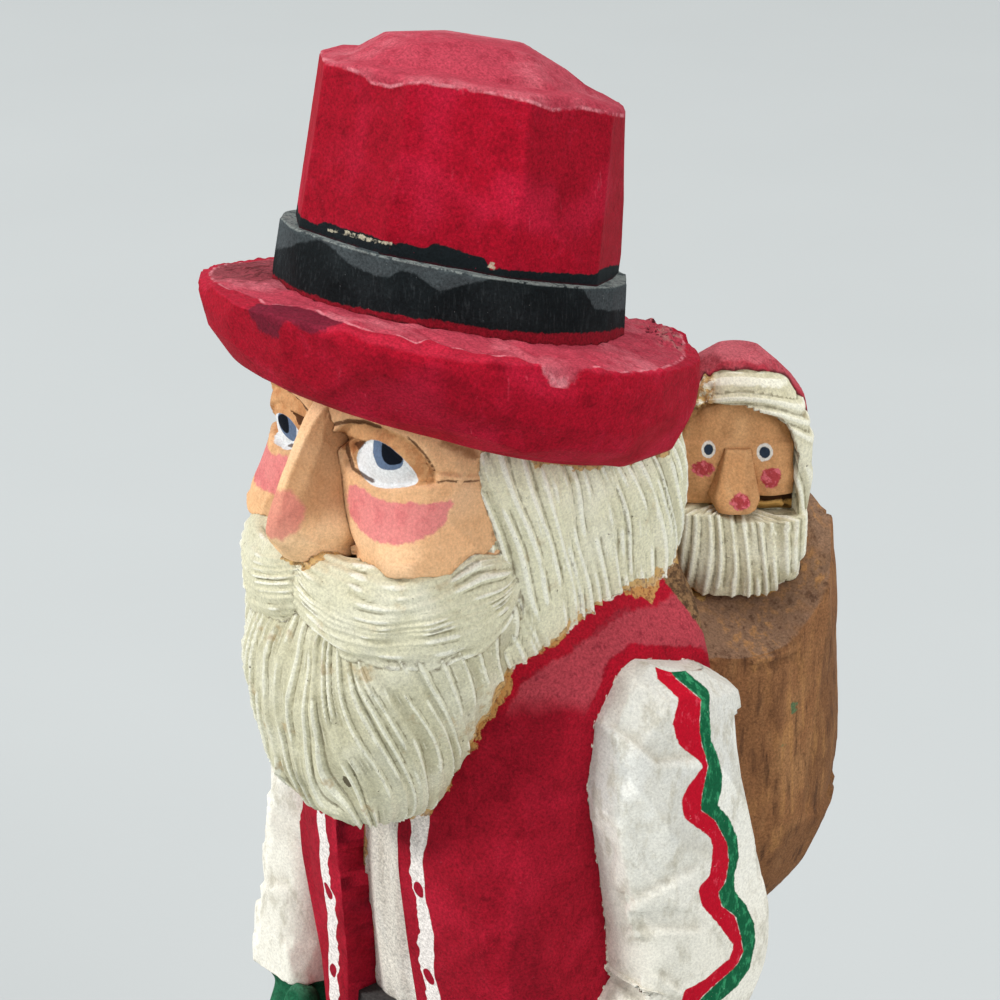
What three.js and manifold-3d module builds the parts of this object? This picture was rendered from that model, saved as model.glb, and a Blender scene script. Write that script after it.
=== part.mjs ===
// A folk-art santa carved from one block of wood: a brimmed hat, a long beard, an open waistcoat over a
// full-sleeved shirt, a sack on the back with a small bearded doll looking out of it, and a low base
// left standing under the boots. Millimetres, +Z up. The figure faces -Y and its left hand is at +X.
// The origin is the middle of the underside of the base.
import * as THREE from "three";
import { mergeVertices } from "three/addons/utils/BufferGeometryUtils.js";
import Module from "manifold-3d";

const wasm = await Module();
wasm.setup();

// Driving sizes of the whole piece.
const FIGURE_HEIGHT = 320; // soles to the top of the hat
const BASE_THICKNESS = 10;
const BASE_WIDTH = 94;
const BASE_DEPTH = 108;
const BASE_CHAMFER = 2.5;
const SOLE_BITE = 1.5; // how far the boots' solid runs down into the base that they are carved with

// Every length below is for a figure DRAWN_HEIGHT tall, with heights above the soles; scaled() and
// placed() turn them into real ones.
const DRAWN_HEIGHT = 320;
const SCALE = FIGURE_HEIGHT / DRAWN_HEIGHT;

// Hat.
const BRIM_RADIUS = 48;
const BRIM_THICKNESS = 19;
const CROWN_RADIUS = 31;
const CROWN_HEIGHT = 47.5;
const BAND_HEIGHT = 14.5;
const BAND_PROUD = 2;
const HAT_TILT = 0.27; // rise of the brim's plane for each millimetre towards the front
const HAT_TOP_TILT = 0.25; // and the same for the top of the crown
const CROWN_LEAN = 0.135; // how far the crown leans back for each millimetre of height
const HAT_MIDDLE = { y: -13.5, z: 263 };
const BRIM_HEAVY_SIDE = THREE.MathUtils.degToRad(50); // the block was left thicker at the back left

// Head and face.
const HEAD_HALF_WIDTH = 29.5;
const HEAD_BACK = 30;
const FACE_HALF_WIDTH = 27;
const EYE_SPACING = 27;
const EYE_HEIGHT = 245;
const NOSE_LENGTH = 22;
const NOSE_PROUD = 14;
const GROOVE_DEPTH = 1.1; // hair and beard grooves, cut with a V tool

// Waistcoat and shirt.
const OPENING_WIDTH = 19.5; // between the waistcoat's two fronts
const WAISTCOAT_THICKNESS = 4.5;
const HEM_HEIGHT = 98;
const BELT_TOP = 121;
const BELT_HEIGHT = 10;

// Doll in the sack.
const DOLL_TURN = THREE.MathUtils.degToRad(48); // towards the figure's left
const DOLL_HALF_WIDTH = 15.8;
const DOLL_PLACE = { x: 15.4, y: 51.4, z: 222 };

const TURN = 2 * Math.PI;
const FRONT = -Math.PI / 2; // the angle of -Y, counted from +X
const WOOD = { raw: 0xb98a52, roughness: 0.75 };

const scaled = (length) => length * SCALE;
const placed = (x, y, z) => new THREE.Vector3(scaled(x), scaled(y), BASE_THICKNESS + scaled(z));

// A closed three.js geometry as a manifold-3d solid.
function solidOf(geometry) {
  const bare = geometry.clone();
  bare.deleteAttribute("normal");
  bare.deleteAttribute("uv");
  const merged = mergeVertices(bare, 1e-4);
  return new wasm.Manifold(
    new wasm.Mesh({
      numProp: 3,
      vertProperties: merged.attributes.position.array,
      triVerts: new Uint32Array(merged.index.array),
    }),
  );
}

const joined = (...solids) => solids.reduce((all, solid) => all.add(solid));
const cut = (solid, ...tools) => tools.reduce((left, tool) => left.subtract(tool), solid);

// The wood is solid, so a pocket closed off where forms meet is dropped and the outer skin kept.
function withoutPockets(solid) {
  const skins = solid.decompose();
  return skins.reduce((largest, skin) => (skin.volume() > largest.volume() ? skin : largest));
}

// A ball whose rings are moved by place(angle, share), with share 0 at its lower pole and 1 at its upper.
function shapedBall(around, rows, place) {
  const ball = new THREE.SphereGeometry(1, around, rows);
  const { position, uv } = ball.attributes;
  for (let i = 0; i < position.count; i++) {
    const row = Math.round(uv.getY(i) * rows);
    const pole = row === 0 || row === rows;
    const angle = pole ? 0 : Math.round(uv.getX(i) * around) * (TURN / around);
    const share = THREE.MathUtils.clamp((row - 1) / (rows - 2), 0, 1);
    const point = place(angle % TURN, share, pole ? 0 : 1);
    position.setXYZ(i, point.x, point.y, point.z);
  }
  return solidOf(ball);
}

// The sizes of a list of stations at a share of its length, on a smooth curve through them.
function sizesAt(stations, share) {
  const last = stations.length - 1;
  const from = Math.min(Math.floor(share * last), last - 1);
  const f = share * last - from;
  const near = (i) => stations[THREE.MathUtils.clamp(i, 0, last)];
  const sizes = {};
  for (const key of Object.keys(stations[0])) {
    const [a, b, c, d] = [near(from - 1), near(from), near(from + 1), near(from + 2)].map((s) => s[key]);
    const bend = (2 * a - 5 * b + 4 * c - d) * f * f + (3 * b - a - 3 * c + d) * f * f * f;
    sizes[key] = (2 * b + (c - a) * f + bend) / 2;
  }
  return sizes;
}

// A point of a rounded box outline in the direction of angle: square 2 is an ellipse, more is boxier.
function outline(angle, halfWidth, front, back, square) {
  const c = Math.cos(angle);
  const s = Math.sin(angle);
  const across = Math.abs(c / halfWidth) ** square;
  const along = Math.abs(s / (s < 0 ? front : back)) ** square;
  const reach = (across + along) ** (-1 / square);
  return { x: reach * c, y: reach * s };
}

// A form of level rings. Each station has z, x, y, half (width), front and back (depths) and square.
function stacked(stations, around, rows, shift = () => ({ x: 0, y: 0, z: 0 })) {
  return shapedBall(around, rows, (angle, share, size) => {
    const s = sizesAt(stations, share);
    const o = outline(angle, s.half, s.front, s.back, s.square);
    const moved = shift(angle, share, o.y * size);
    return placed(s.x + (o.x + moved.x) * size, s.y + (o.y + moved.y) * size, s.z + moved.z);
  });
}

// A form of rings square to a path. Each station has x, y, z, wide and deep; wide lies along side.
function swept(stations, around, rows, side, square = 2, flute = () => 0) {
  const path = new THREE.CatmullRomCurve3(stations.map((s) => new THREE.Vector3(s.x, s.y, s.z)));
  return shapedBall(around, rows, (angle, share, size) => {
    const s = sizesAt(stations, share);
    const tangent = path.getTangent(share);
    const wideAxis = side.clone().addScaledVector(tangent, -side.dot(tangent)).normalize();
    const deepAxis = tangent.clone().cross(wideAxis);
    const proud = flute(angle, share);
    const o = outline(angle, s.wide + proud, s.deep + proud, s.deep + proud, square);
    const point = path.getPoint(share);
    point.addScaledVector(wideAxis, o.x * size).addScaledVector(deepAxis, o.y * size);
    return placed(point.x, point.y, point.z);
  });
}

// An egg turned about Z, for eyes and thumbs.
function egg(x, y, z, halfWidth, halfDepth, halfHeight, around, rows, turn = 0) {
  const ball = new THREE.SphereGeometry(1, around, rows);
  ball.rotateX(Math.PI / 2);
  ball.scale(scaled(halfWidth), scaled(halfDepth), scaled(halfHeight));
  ball.rotateZ(turn);
  const middle = placed(x, y, z);
  ball.translate(middle.x, middle.y, middle.z);
  return solidOf(ball);
}

// In and out round a ring, for a ring with two vertices to each groove.
const groove = (angle, grooves) => GROOVE_DEPTH * Math.cos(grooves * angle);

// Height of the hat's sloping plane over its middle. The top of the crown slopes less than the brim.
function hatSlope(y, height) {
  const tilt = HAT_TILT + ((HAT_TOP_TILT - HAT_TILT) * Math.max(0, height)) / CROWN_HEIGHT;
  return -(y - HAT_MIDDLE.y) * tilt;
}

// A turned form in the hat's own frame: the profile is a list of [radius, height].
function hatRings(profile, around, reach = () => 1, rise = (angle, height) => height) {
  const last = profile.length - 1;
  return shapedBall(around, last + 2, (angle, share, size) => {
    const [radius, height] = profile[Math.round(share * last)];
    const out = radius * size * reach(angle, height);
    const y = HAT_MIDDLE.y + out * Math.sin(angle);
    const z = HAT_MIDDLE.z + hatSlope(y, height) + rise(angle, height);
    return placed(out * Math.cos(angle), y + height * CROWN_LEAN, z);
  });
}

function brim() {
  const under = -BRIM_THICKNESS;
  const profile = [
    [BRIM_RADIUS * 0.56, under],
    [BRIM_RADIUS * 0.78, under * 0.94],
    [BRIM_RADIUS * 0.9, under * 0.76],
    [BRIM_RADIUS * 0.975, under * 0.45],
    [BRIM_RADIUS, under * 0.08],
    [BRIM_RADIUS * 0.99, 1],
    [BRIM_RADIUS * 0.95, 2],
    [BRIM_RADIUS * 0.72, 3.4],
  ];
  const heavy = (angle, height) => (Math.cos(angle - BRIM_HEAVY_SIDE) * Math.min(0, height)) / under;
  const reach = (angle, height) => 1 + 0.055 * heavy(angle, height) + 0.012 * Math.cos(5 * angle + 1);
  const lump = (angle) => 1.1 * Math.exp(-(((angle - BRIM_HEAVY_SIDE - 0.32) / 0.32) ** 2));
  const lift = (angle) => 0.2 + 0.7 * Math.cos(angle - BRIM_HEAVY_SIDE) + lump(angle);
  const droop = (angle, height) => 0.16 * under * heavy(angle, height);
  const rise = (angle, height) => height + (height > 0 ? lift(angle) : droop(angle, height));
  return hatRings(profile, 32, reach, rise);
}

function crown() {
  const profile = [
    [CROWN_RADIUS, 0],
    [CROWN_RADIUS, BAND_HEIGHT],
    [CROWN_RADIUS * 0.985, CROWN_HEIGHT * 0.6],
    [CROWN_RADIUS * 0.935, CROWN_HEIGHT * 0.95],
    [CROWN_RADIUS * 0.86, CROWN_HEIGHT],
    [CROWN_RADIUS * 0.55, CROWN_HEIGHT * 1.04],
  ];
  return hatRings(profile, 15);
}

// The raised oval left on the end grain of the crown.
function crownRidge() {
  const top = CROWN_HEIGHT;
  const profile = [
    [CROWN_RADIUS * 0.7, top * 0.96],
    [CROWN_RADIUS * 0.64, top * 1.07],
    [CROWN_RADIUS * 0.44, top * 1.13],
    [CROWN_RADIUS * 0.18, top * 1.155],
  ];
  return hatRings(profile, 12, (angle) => 1 - 0.14 * Math.abs(Math.cos(angle)));
}

function hatBand() {
  const radius = CROWN_RADIUS + BAND_PROUD;
  const profile = [
    [radius * 1.01, 1],
    [radius * 1.01, BAND_HEIGHT * 0.55],
    [radius, BAND_HEIGHT],
  ];
  return hatRings(profile, 20);
}

function head() {
  const half = HEAD_HALF_WIDTH;
  const stations = [
    { z: 192, x: 0, y: 0, half: half - 4, front: 22, back: HEAD_BACK - 4, square: 3.2 },
    { z: 206, x: 0, y: 0, half: half - 0.5, front: 29, back: HEAD_BACK - 2, square: 4 },
    { z: 226, x: 0, y: 0, half: half + 0.7, front: 31.5, back: HEAD_BACK, square: 4.6 },
    { z: 240, x: 0, y: -1, half: half + 0.3, front: 31, back: HEAD_BACK, square: 4.4 },
    { z: 256, x: 0, y: -4, half: half - 3, front: 25, back: HEAD_BACK - 2, square: 3.2 },
  ];
  const grooves = 24;
  return stacked(stations, 2 * grooves, 6, (angle, share, y) => {
    const proud = groove(angle, grooves);
    return { x: proud * Math.cos(angle), y: proud * Math.sin(angle), z: -0.26 * y * share ** 3 };
  });
}

// Forehead, eye line and cheeks in one form. The cheeks swell out of it and end on the moustache.
function faceBlock() {
  const wide = FACE_HALF_WIDTH;
  const stations = [
    { z: 214.5, x: 0, y: -20, half: wide - 6, front: 20, back: 10, square: 3 },
    { z: 219, x: 0, y: -20, half: wide - 1.5, front: 24.5, back: 10, square: 3.6 },
    { z: 227, x: 0, y: -20, half: wide + 0.5, front: 25.5, back: 10, square: 4 },
    { z: 235, x: 0, y: -20, half: wide, front: 23.5, back: 10, square: 3.8 },
    { z: 243, x: 0, y: -20, half: wide - 2, front: 20, back: 10, square: 3.4 },
    { z: 252, x: 0, y: -20, half: wide - 1.5, front: 22, back: 10, square: 3.2 },
    { z: 268, x: 0, y: -20, half: wide - 4, front: 21, back: 10, square: 2.8 },
  ];
  const swell = (away, spread) => Math.exp(-((away / spread) ** 2));
  return stacked(stations, 36, 12, (angle, share) => {
    const z = sizesAt(stations, share).z;
    const fromMiddle = Math.abs(Math.atan2(Math.sin(angle - FRONT), Math.cos(angle - FRONT)));
    const cheek = 3 * swell(fromMiddle - 0.76, 0.3) * swell(z - 228, 9);
    const crease = -2.2 * swell(fromMiddle - 0.3, 0.14) * swell(z - 228, 14);
    return { x: (cheek + crease) * Math.cos(angle), y: (cheek + crease) * Math.sin(angle), z: 0 };
  });
}

function eyeSocket(side) {
  return egg((side * EYE_SPACING) / 2, -44.5, EYE_HEIGHT + 0.5, 9.8, 6.2, 7, 16, 8, side * 0.4);
}

function eye(side) {
  return egg((side * EYE_SPACING) / 2, -36.4, EYE_HEIGHT - 0.5, 7.8, 4.6, 6, 14, 8, side * 0.4);
}

function nose() {
  const bridge = EYE_HEIGHT + 7;
  const tip = bridge - NOSE_LENGTH;
  const root = -42.5;
  const stations = [
    { z: tip - 5.5, x: 0, y: root - 3, half: 5.6, front: NOSE_PROUD * 0.52, back: 6, square: 2.4 },
    { z: tip, x: 0, y: root - 2, half: 7.6, front: NOSE_PROUD * 0.86, back: 8, square: 2.2 },
    { z: tip + NOSE_LENGTH * 0.3, x: 0, y: root, half: 5.6, front: NOSE_PROUD * 0.76, back: 8, square: 2.4 },
    { z: tip + NOSE_LENGTH * 0.65, x: 0, y: root, half: 3.8, front: NOSE_PROUD * 0.42, back: 8, square: 2.8 },
    { z: bridge + 5, x: 0, y: root + 2, half: 3.4, front: NOSE_PROUD * 0.15, back: 8, square: 3 },
  ];
  return stacked(stations, 14, 9);
}

function moustache(side) {
  const stations = [
    { x: -side * 3.5, y: -46.5, z: 221.5, wide: 6.5, deep: 5.5 },
    { x: side * 7, y: -48.5, z: 218, wide: 8.2, deep: 5.6 },
    { x: side * 16.5, y: -45.5, z: 213.5, wide: 9, deep: 5.6 },
    { x: side * 24.5, y: -36.5, z: 213, wide: 8, deep: 5.2 },
    { x: side * 28.5, y: -27, z: 217.5, wide: 5.5, deep: 4.4 },
    { x: side * 29.5, y: -20, z: 222, wide: 2.5, deep: 2 },
  ];
  const ridges = 6;
  const flute = (angle) => 0.6 * GROOVE_DEPTH * Math.cos(ridges * angle);
  return swept(stations, 2 * ridges, 10, new THREE.Vector3(0, 0, 1), 2.3, flute);
}

function beard() {
  const stations = [
    { z: 163.5, x: 0, y: -37.5, half: 5, front: 4, back: 4, square: 2.2 },
    { z: 168, x: 0, y: -36, half: 12.5, front: 11, back: 10, square: 2.2 },
    { z: 180, x: 0, y: -34, half: 20, front: 19.5, back: 18, square: 2.3 },
    { z: 197, x: 0, y: -31, half: 26, front: 25, back: 25, square: 2.3 },
    { z: 212, x: 0, y: -27, half: 28.5, front: 24.5, back: 25, square: 2.4 },
    { z: 221, x: 0, y: -24, half: 27, front: 18, back: 20, square: 2.5 },
  ];
  const grooves = 22;
  return stacked(stations, 2 * grooves, 9, (angle, share) => {
    const proud = groove(angle, grooves) * Math.min(1, 0.4 + 2 * share);
    return { x: proud * Math.cos(angle), y: proud * Math.sin(angle), z: 0 };
  });
}

function torso() {
  const stations = [
    { z: HEM_HEIGHT, x: 0, y: 6, half: 37.5, front: 33, back: 25, square: 2.8 },
    { z: HEM_HEIGHT + 22, x: 0, y: 5, half: 36, front: 32.5, back: 26, square: 2.9 },
    { z: 141, x: 0, y: 4, half: 36.5, front: 34, back: 28, square: 3 },
    { z: 160, x: 0, y: 3, half: 37.5, front: 36, back: 30, square: 3.2 },
    { z: 176, x: 0, y: 4, half: 38.5, front: 34.5, back: 30, square: 3.1 },
    { z: 189, x: 0, y: 6, half: 39.5, front: 33, back: 28, square: 3 },
    { z: 200, x: 0, y: 8, half: 36.5, front: 31, back: 24, square: 3 },
    { z: 207, x: 0, y: 10, half: 32, front: 26, back: 20, square: 2.9 },
    { z: 212, x: 0, y: 14, half: 28, front: 16, back: 16, square: 2.8 },
  ];
  return stacked(stations, 28, 13);
}

// What is cut away between the waistcoat's fronts, down to the shirt.
function opening() {
  const bottom = HEM_HEIGHT - 4;
  const top = 182;
  const cutter = new THREE.BoxGeometry(2, 2, 1, 1, 1, 8);
  const { position } = cutter.attributes;
  for (let i = 0; i < position.count; i++) {
    const share = position.getZ(i) + 0.5;
    const z = bottom + (top - bottom) * share;
    const half = OPENING_WIDTH / 2 + 5 * (1 - share) ** 3;
    const shirt = -26 - 7 * Math.sin(Math.PI * Math.min(1, share * 0.75)) + WAISTCOAT_THICKNESS;
    const point = placed(position.getX(i) * half, position.getY(i) < 0 ? -60 : shirt, z);
    position.setXYZ(i, point.x, point.y, point.z);
  }
  return solidOf(cutter);
}

function leftArm() {
  const stations = [
    { x: 38.5, y: 14.5, z: 197.5, wide: 6.5, deep: 8 },
    { x: 38.5, y: 10, z: 189.5, wide: 11, deep: 18 },
    { x: 40, y: 9.5, z: 175, wide: 12.5, deep: 20.5 },
    { x: 41, y: 11.5, z: 157, wide: 13, deep: 20 },
    { x: 41.5, y: 13.5, z: 141, wide: 13.5, deep: 20 },
    { x: 40.5, y: 12, z: 125, wide: 13, deep: 18 },
    { x: 38, y: 0, z: 113, wide: 11.5, deep: 13.5 },
    { x: 34.5, y: -12, z: 104, wide: 9.5, deep: 10 },
  ];
  return swept(stations, 18, 13, new THREE.Vector3(1, 0, 0), 2.4);
}

function rightArm() {
  const stations = [
    { x: -37.5, y: 13, z: 197.5, wide: 6, deep: 7 },
    { x: -38.5, y: 8, z: 189.5, wide: 11, deep: 16 },
    { x: -40, y: 1, z: 174, wide: 12.5, deep: 17.5 },
    { x: -41.5, y: -8.5, z: 154, wide: 12.5, deep: 17 },
    { x: -40.5, y: -14, z: 134, wide: 12, deep: 15 },
    { x: -38.5, y: -15.5, z: 118, wide: 11, deep: 13 },
    { x: -38, y: -16, z: 107, wide: 10, deep: 11.5 },
  ];
  return swept(stations, 18, 12, new THREE.Vector3(-1, 0, 0), 2.4);
}

// A closed mitten from its cuff to its finger tips, with the thumb lying along it.
function mitten(wrist, tip, thumb, side) {
  const at = (f, wide, deep) => ({
    x: wrist.x + (tip.x - wrist.x) * f,
    y: wrist.y + (tip.y - wrist.y) * f,
    z: wrist.z + (tip.z - wrist.z) * f,
    wide,
    deep,
  });
  const cuff = [at(0, 8.6, 9.8), at(0.16, 8.8, 10), at(0.3, 7.6, 8.8)];
  const hand = [at(0.6, 8.8, 10.4), at(0.88, 7.6, 8.8), at(1, 4.5, 5.5)];
  const fist = swept([...cuff, ...hand], 14, 10, new THREE.Vector3(1, 0, 0), 2.3);
  const thumbSide = egg(thumb.x, thumb.y, thumb.z, 4.2, 4.6, 8, 10, 6, side * 0.4);
  return fist.add(thumbSide);
}

// The sack is solid to its top, which rises towards its back.
function sack() {
  const stations = [
    { z: 114, x: 1, y: 44, half: 15, front: 14, back: 12, square: 2.4 },
    { z: 122, x: 1, y: 47, half: 25, front: 20, back: 19, square: 2.6 },
    { z: 138, x: 1, y: 50, half: 33.5, front: 25, back: 24.5, square: 2.9 },
    { z: 158, x: 1, y: 51, half: 35.5, front: 26, back: 26, square: 3 },
    { z: 176, x: 1, y: 50, half: 35, front: 26, back: 26, square: 3 },
    { z: 192, x: 1, y: 49.5, half: 35, front: 26, back: 27, square: 3 },
    { z: 196.5, x: 1, y: 49, half: 33, front: 23.5, back: 24.5, square: 2.8 },
    { z: 197, x: 1, y: 49, half: 18, front: 14, back: 13, square: 2.4 },
  ];
  const folds = 7;
  return stacked(stations, 4 * folds, 12, (angle, share, y) => {
    const gather = 0.8 * share * Math.cos(folds * angle);
    const rise = 14 * Math.min(1, 1.2 * share) ** 6 * THREE.MathUtils.smoothstep(y, -3, 20);
    return { x: gather * Math.cos(angle), y: gather * Math.sin(angle), z: rise };
  });
}

// The wood left between the back of the head, the hat and the doll, where a knife hardly reaches.
function webBehindHead() {
  const stations = [
    { z: 190, x: 0, y: 33, half: 16, front: 8, back: 12, square: 2.4 },
    { z: 205, x: -2, y: 34, half: 10, front: 8, back: 11, square: 2.4 },
    { z: 224, x: -3, y: 34, half: 8, front: 8, back: 11, square: 2.4 },
    { z: 242, x: -2, y: 35, half: 8, front: 8, back: 11, square: 2.4 },
  ];
  return stacked(stations, 14, 6);
}

// The doll is made facing -Y at the origin and then turned and put on top of the sack.
function doll() {
  const wide = DOLL_HALF_WIDTH;
  const hair = [
    { z: -25, x: 0, y: 0, half: wide - 2, front: 8, back: 9, square: 3 },
    { z: -12, x: 0, y: 0, half: wide - 0.5, front: 9, back: 12, square: 4 },
    { z: 2, x: 0, y: 0, half: wide, front: 9, back: 12, square: 4 },
    { z: 11, x: 0, y: 0, half: wide - 1, front: 9, back: 12, square: 3 },
    { z: 17, x: 0, y: 1, half: wide - 4.5, front: 8, back: 9, square: 2.5 },
    { z: 20.5, x: 0, y: 2, half: wide - 10, front: 4, back: 4, square: 2.2 },
  ];
  const face = [
    { z: -9.5, x: -0.6, y: -2, half: wide - 3.4, front: 5, back: 8, square: 6 },
    { z: 4, x: -0.6, y: -2, half: wide - 3.6, front: 4.6, back: 8, square: 6 },
    { z: 11, x: -0.6, y: -2, half: wide - 5.6, front: 4.4, back: 8, square: 4 },
    { z: 15, x: -0.6, y: -2, half: wide - 9.6, front: 4, back: 8, square: 3 },
  ];
  const beardRings = [
    { z: -26, x: 0, y: -2, half: wide - 7, front: 9.5, back: 6, square: 3 },
    { z: -19, x: 0, y: -2, half: wide - 3, front: 11, back: 8, square: 4 },
    { z: -9.5, x: 0, y: -2, half: wide - 1.6, front: 10, back: 8, square: 5 },
  ];
  const snub = [
    { z: -9, x: 0, y: -6, half: 4.6, front: 6.4, back: 3, square: 3 },
    { z: -5, x: 0, y: -6, half: 4.4, front: 5.6, back: 3, square: 3 },
    { z: 5, x: 0, y: -6, half: 3, front: 1.4, back: 3, square: 3 },
  ];
  const capRings = [
    { z: 7, x: 0, y: 5, half: wide - 0.8, front: 6.5, back: 8.4, square: 3 },
    { z: 16.5, x: 0, y: 4, half: wide - 3.6, front: 8.5, back: 8, square: 2.4 },
    { z: 23, x: 0, y: 3, half: wide - 9.5, front: 5, back: 5, square: 2.2 },
  ];
  const grooves = 10;
  const bearded = stacked(beardRings, 2 * grooves, 5, (angle) => {
    const proud = 0.6 * groove(angle, grooves);
    return { x: proud * Math.cos(angle), y: proud * Math.sin(angle), z: 0 };
  });
  const hollow = face.map((s) => ({ ...s, x: -3, y: -12, half: s.half + 3, front: 4, back: 6.5 }));
  const made = joined(
    cut(stacked(hair, 24, 10), stacked(hollow, 20, 6)),
    stacked(face, 20, 6),
    bearded,
    stacked(snub, 12, 5),
    stacked(capRings, 18, 6),
  );
  const middle = new THREE.Vector3(DOLL_PLACE.x, DOLL_PLACE.y, DOLL_PLACE.z).multiplyScalar(SCALE);
  return made.transform(new THREE.Matrix4().makeRotationZ(DOLL_TURN).setPosition(middle).elements);
}

function hips() {
  const stations = [
    { z: 76, x: 0, y: 9, half: 22, front: 13, back: 13, square: 2.4 },
    { z: 86, x: 0, y: 9, half: 30, front: 20, back: 19, square: 2.6 },
    { z: 98, x: 0, y: 9, half: 33, front: 26, back: 22, square: 2.6 },
    { z: BELT_TOP - BELT_HEIGHT, x: 0, y: 9, half: 31, front: 33.5, back: 22, square: 2.6 },
  ];
  return stacked(stations, 24, 6);
}

function belt() {
  const stations = [
    { z: BELT_TOP - BELT_HEIGHT, x: 0, y: 8, half: 32, front: 36.5, back: 24, square: 2.5 },
    { z: BELT_TOP, x: 0, y: 8, half: 32, front: 36, back: 24, square: 2.5 },
  ];
  return stacked(stations, 24, 3);
}

function leg(side) {
  const stations = [
    { x: side * 16.5, y: 6, z: 32, wide: 13.5, deep: 15 },
    { x: side * 16.5, y: 6, z: 38, wide: 16, deep: 17.5 },
    { x: side * 16, y: 7, z: 60, wide: 16.5, deep: 18.5 },
    { x: side * 16, y: 8.5, z: 80, wide: 17, deep: 20 },
    { x: side * 15.5, y: 9, z: 98, wide: 17, deep: 21 },
  ];
  return swept(stations, 16, 8, new THREE.Vector3(1, 0, 0), 2.6);
}

function boot(side) {
  const sole = -SOLE_BITE;
  const shaft = [
    { x: side * 17.5, y: 6, z: sole, wide: 11.5, deep: 14 },
    { x: side * 17.5, y: 6, z: 14, wide: 11.5, deep: 13 },
    { x: side * 17.2, y: 6, z: 29, wide: 12.2, deep: 13.2 },
    { x: side * 17, y: 6, z: 40, wide: 13, deep: 14 },
  ];
  const foot = [
    { z: sole, x: side * 19, y: -7, half: 12, front: 26, back: 22, square: 2.6 },
    { z: 6, x: side * 19, y: -7, half: 12.5, front: 26.5, back: 22, square: 2.5 },
    { z: 15, x: side * 18.6, y: -5, half: 11, front: 21, back: 18, square: 2.3 },
    { z: 21, x: side * 18.2, y: 0, half: 8, front: 12, back: 12, square: 2.2 },
  ];
  return joined(swept(shaft, 14, 5, new THREE.Vector3(1, 0, 0), 2.4), stacked(foot, 18, 6));
}

function base() {
  const halfWidth = BASE_WIDTH / 2 - BASE_CHAMFER;
  const halfDepth = BASE_DEPTH / 2 - BASE_CHAMFER;
  const boxed = new THREE.Shape(
    Array.from({ length: 28 }, (_, i) => {
      const o = outline((i * TURN) / 28, halfWidth, halfDepth, halfDepth, 3.4);
      return new THREE.Vector2(o.x, o.y);
    }),
  );
  const slab = new THREE.ExtrudeGeometry(boxed, {
    depth: BASE_THICKNESS - 2 * BASE_CHAMFER,
    bevelEnabled: true,
    bevelThickness: BASE_CHAMFER,
    bevelSize: BASE_CHAMFER,
    bevelSegments: 1,
  });
  slab.translate(0, 0, BASE_CHAMFER);
  return solidOf(slab);
}

function figure() {
  const face = joined(
    cut(faceBlock(), eyeSocket(-1), eyeSocket(1)),
    eye(-1),
    eye(1),
    nose(),
  );
  const hat = joined(brim(), crown(), crownRidge(), hatBand());
  const whiskers = joined(beard(), moustache(-1), moustache(1));
  const clothes = joined(cut(torso(), opening()), belt());
  const arms = joined(
    leftArm(),
    rightArm(),
    mitten({ x: 35, y: -7, z: 102 }, { x: 30, y: -25, z: 89 }, { x: 24, y: -20, z: 97 }, -1),
    mitten({ x: -36, y: -15, z: 110 }, { x: -34, y: -18, z: 86 }, { x: -29, y: -25, z: 99 }, 1),
  );
  const load = joined(sack(), webBehindHead(), doll());
  const legs = joined(hips(), leg(-1), leg(1), boot(-1), boot(1));
  return withoutPockets(joined(base(), legs, clothes, arms, load, head(), face, whiskers, hat));
}

// A manifold-3d solid back as a geometry that three.js draws.
function geometryOf(solid) {
  const mesh = solid.getMesh();
  const points = new Float32Array(mesh.numVert * 3);
  for (let i = 0; i < mesh.numVert; i++) {
    points.set(mesh.vertProperties.subarray(i * mesh.numProp, i * mesh.numProp + 3), i * 3);
  }
  const geometry = new THREE.BufferGeometry();
  geometry.setAttribute("position", new THREE.BufferAttribute(points, 3));
  geometry.setIndex(new THREE.BufferAttribute(new Uint32Array(mesh.triVerts), 1));
  geometry.computeVertexNormals();
  return geometry;
}

const carving = new THREE.Mesh(
  geometryOf(figure()),
  new THREE.MeshStandardMaterial({ color: WOOD.raw, roughness: WOOD.roughness, metalness: 0 }),
);
carving.name = "santa_carving";

const santa = new THREE.Group();
santa.add(carving);

export default santa;
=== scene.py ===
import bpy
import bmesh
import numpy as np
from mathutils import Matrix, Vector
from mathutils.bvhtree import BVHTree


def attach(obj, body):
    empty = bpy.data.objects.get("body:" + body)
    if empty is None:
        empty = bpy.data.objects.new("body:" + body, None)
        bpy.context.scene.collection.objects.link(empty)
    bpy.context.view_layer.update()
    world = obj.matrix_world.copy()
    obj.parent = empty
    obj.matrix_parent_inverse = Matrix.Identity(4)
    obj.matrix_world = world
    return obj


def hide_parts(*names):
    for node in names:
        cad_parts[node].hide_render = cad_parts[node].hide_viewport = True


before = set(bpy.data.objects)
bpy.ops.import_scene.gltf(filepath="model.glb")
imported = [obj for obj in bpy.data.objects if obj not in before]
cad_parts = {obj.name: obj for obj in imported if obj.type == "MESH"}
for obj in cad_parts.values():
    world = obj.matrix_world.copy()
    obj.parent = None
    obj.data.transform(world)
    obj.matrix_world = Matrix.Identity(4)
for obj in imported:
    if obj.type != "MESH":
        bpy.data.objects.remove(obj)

# %% [markdown]
# # A carved and painted santa
# The real figure is one block of soft wood: hat, beard, arms, sack and doll are all cut out of it
# with knives and gouges and then painted with thin, matt paint. The CAD model already has its main
# forms. Here each painted form becomes a fine mesh of its own in the same place, so that every
# knife cut, gouge stroke and brush edge can be shown.

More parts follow.
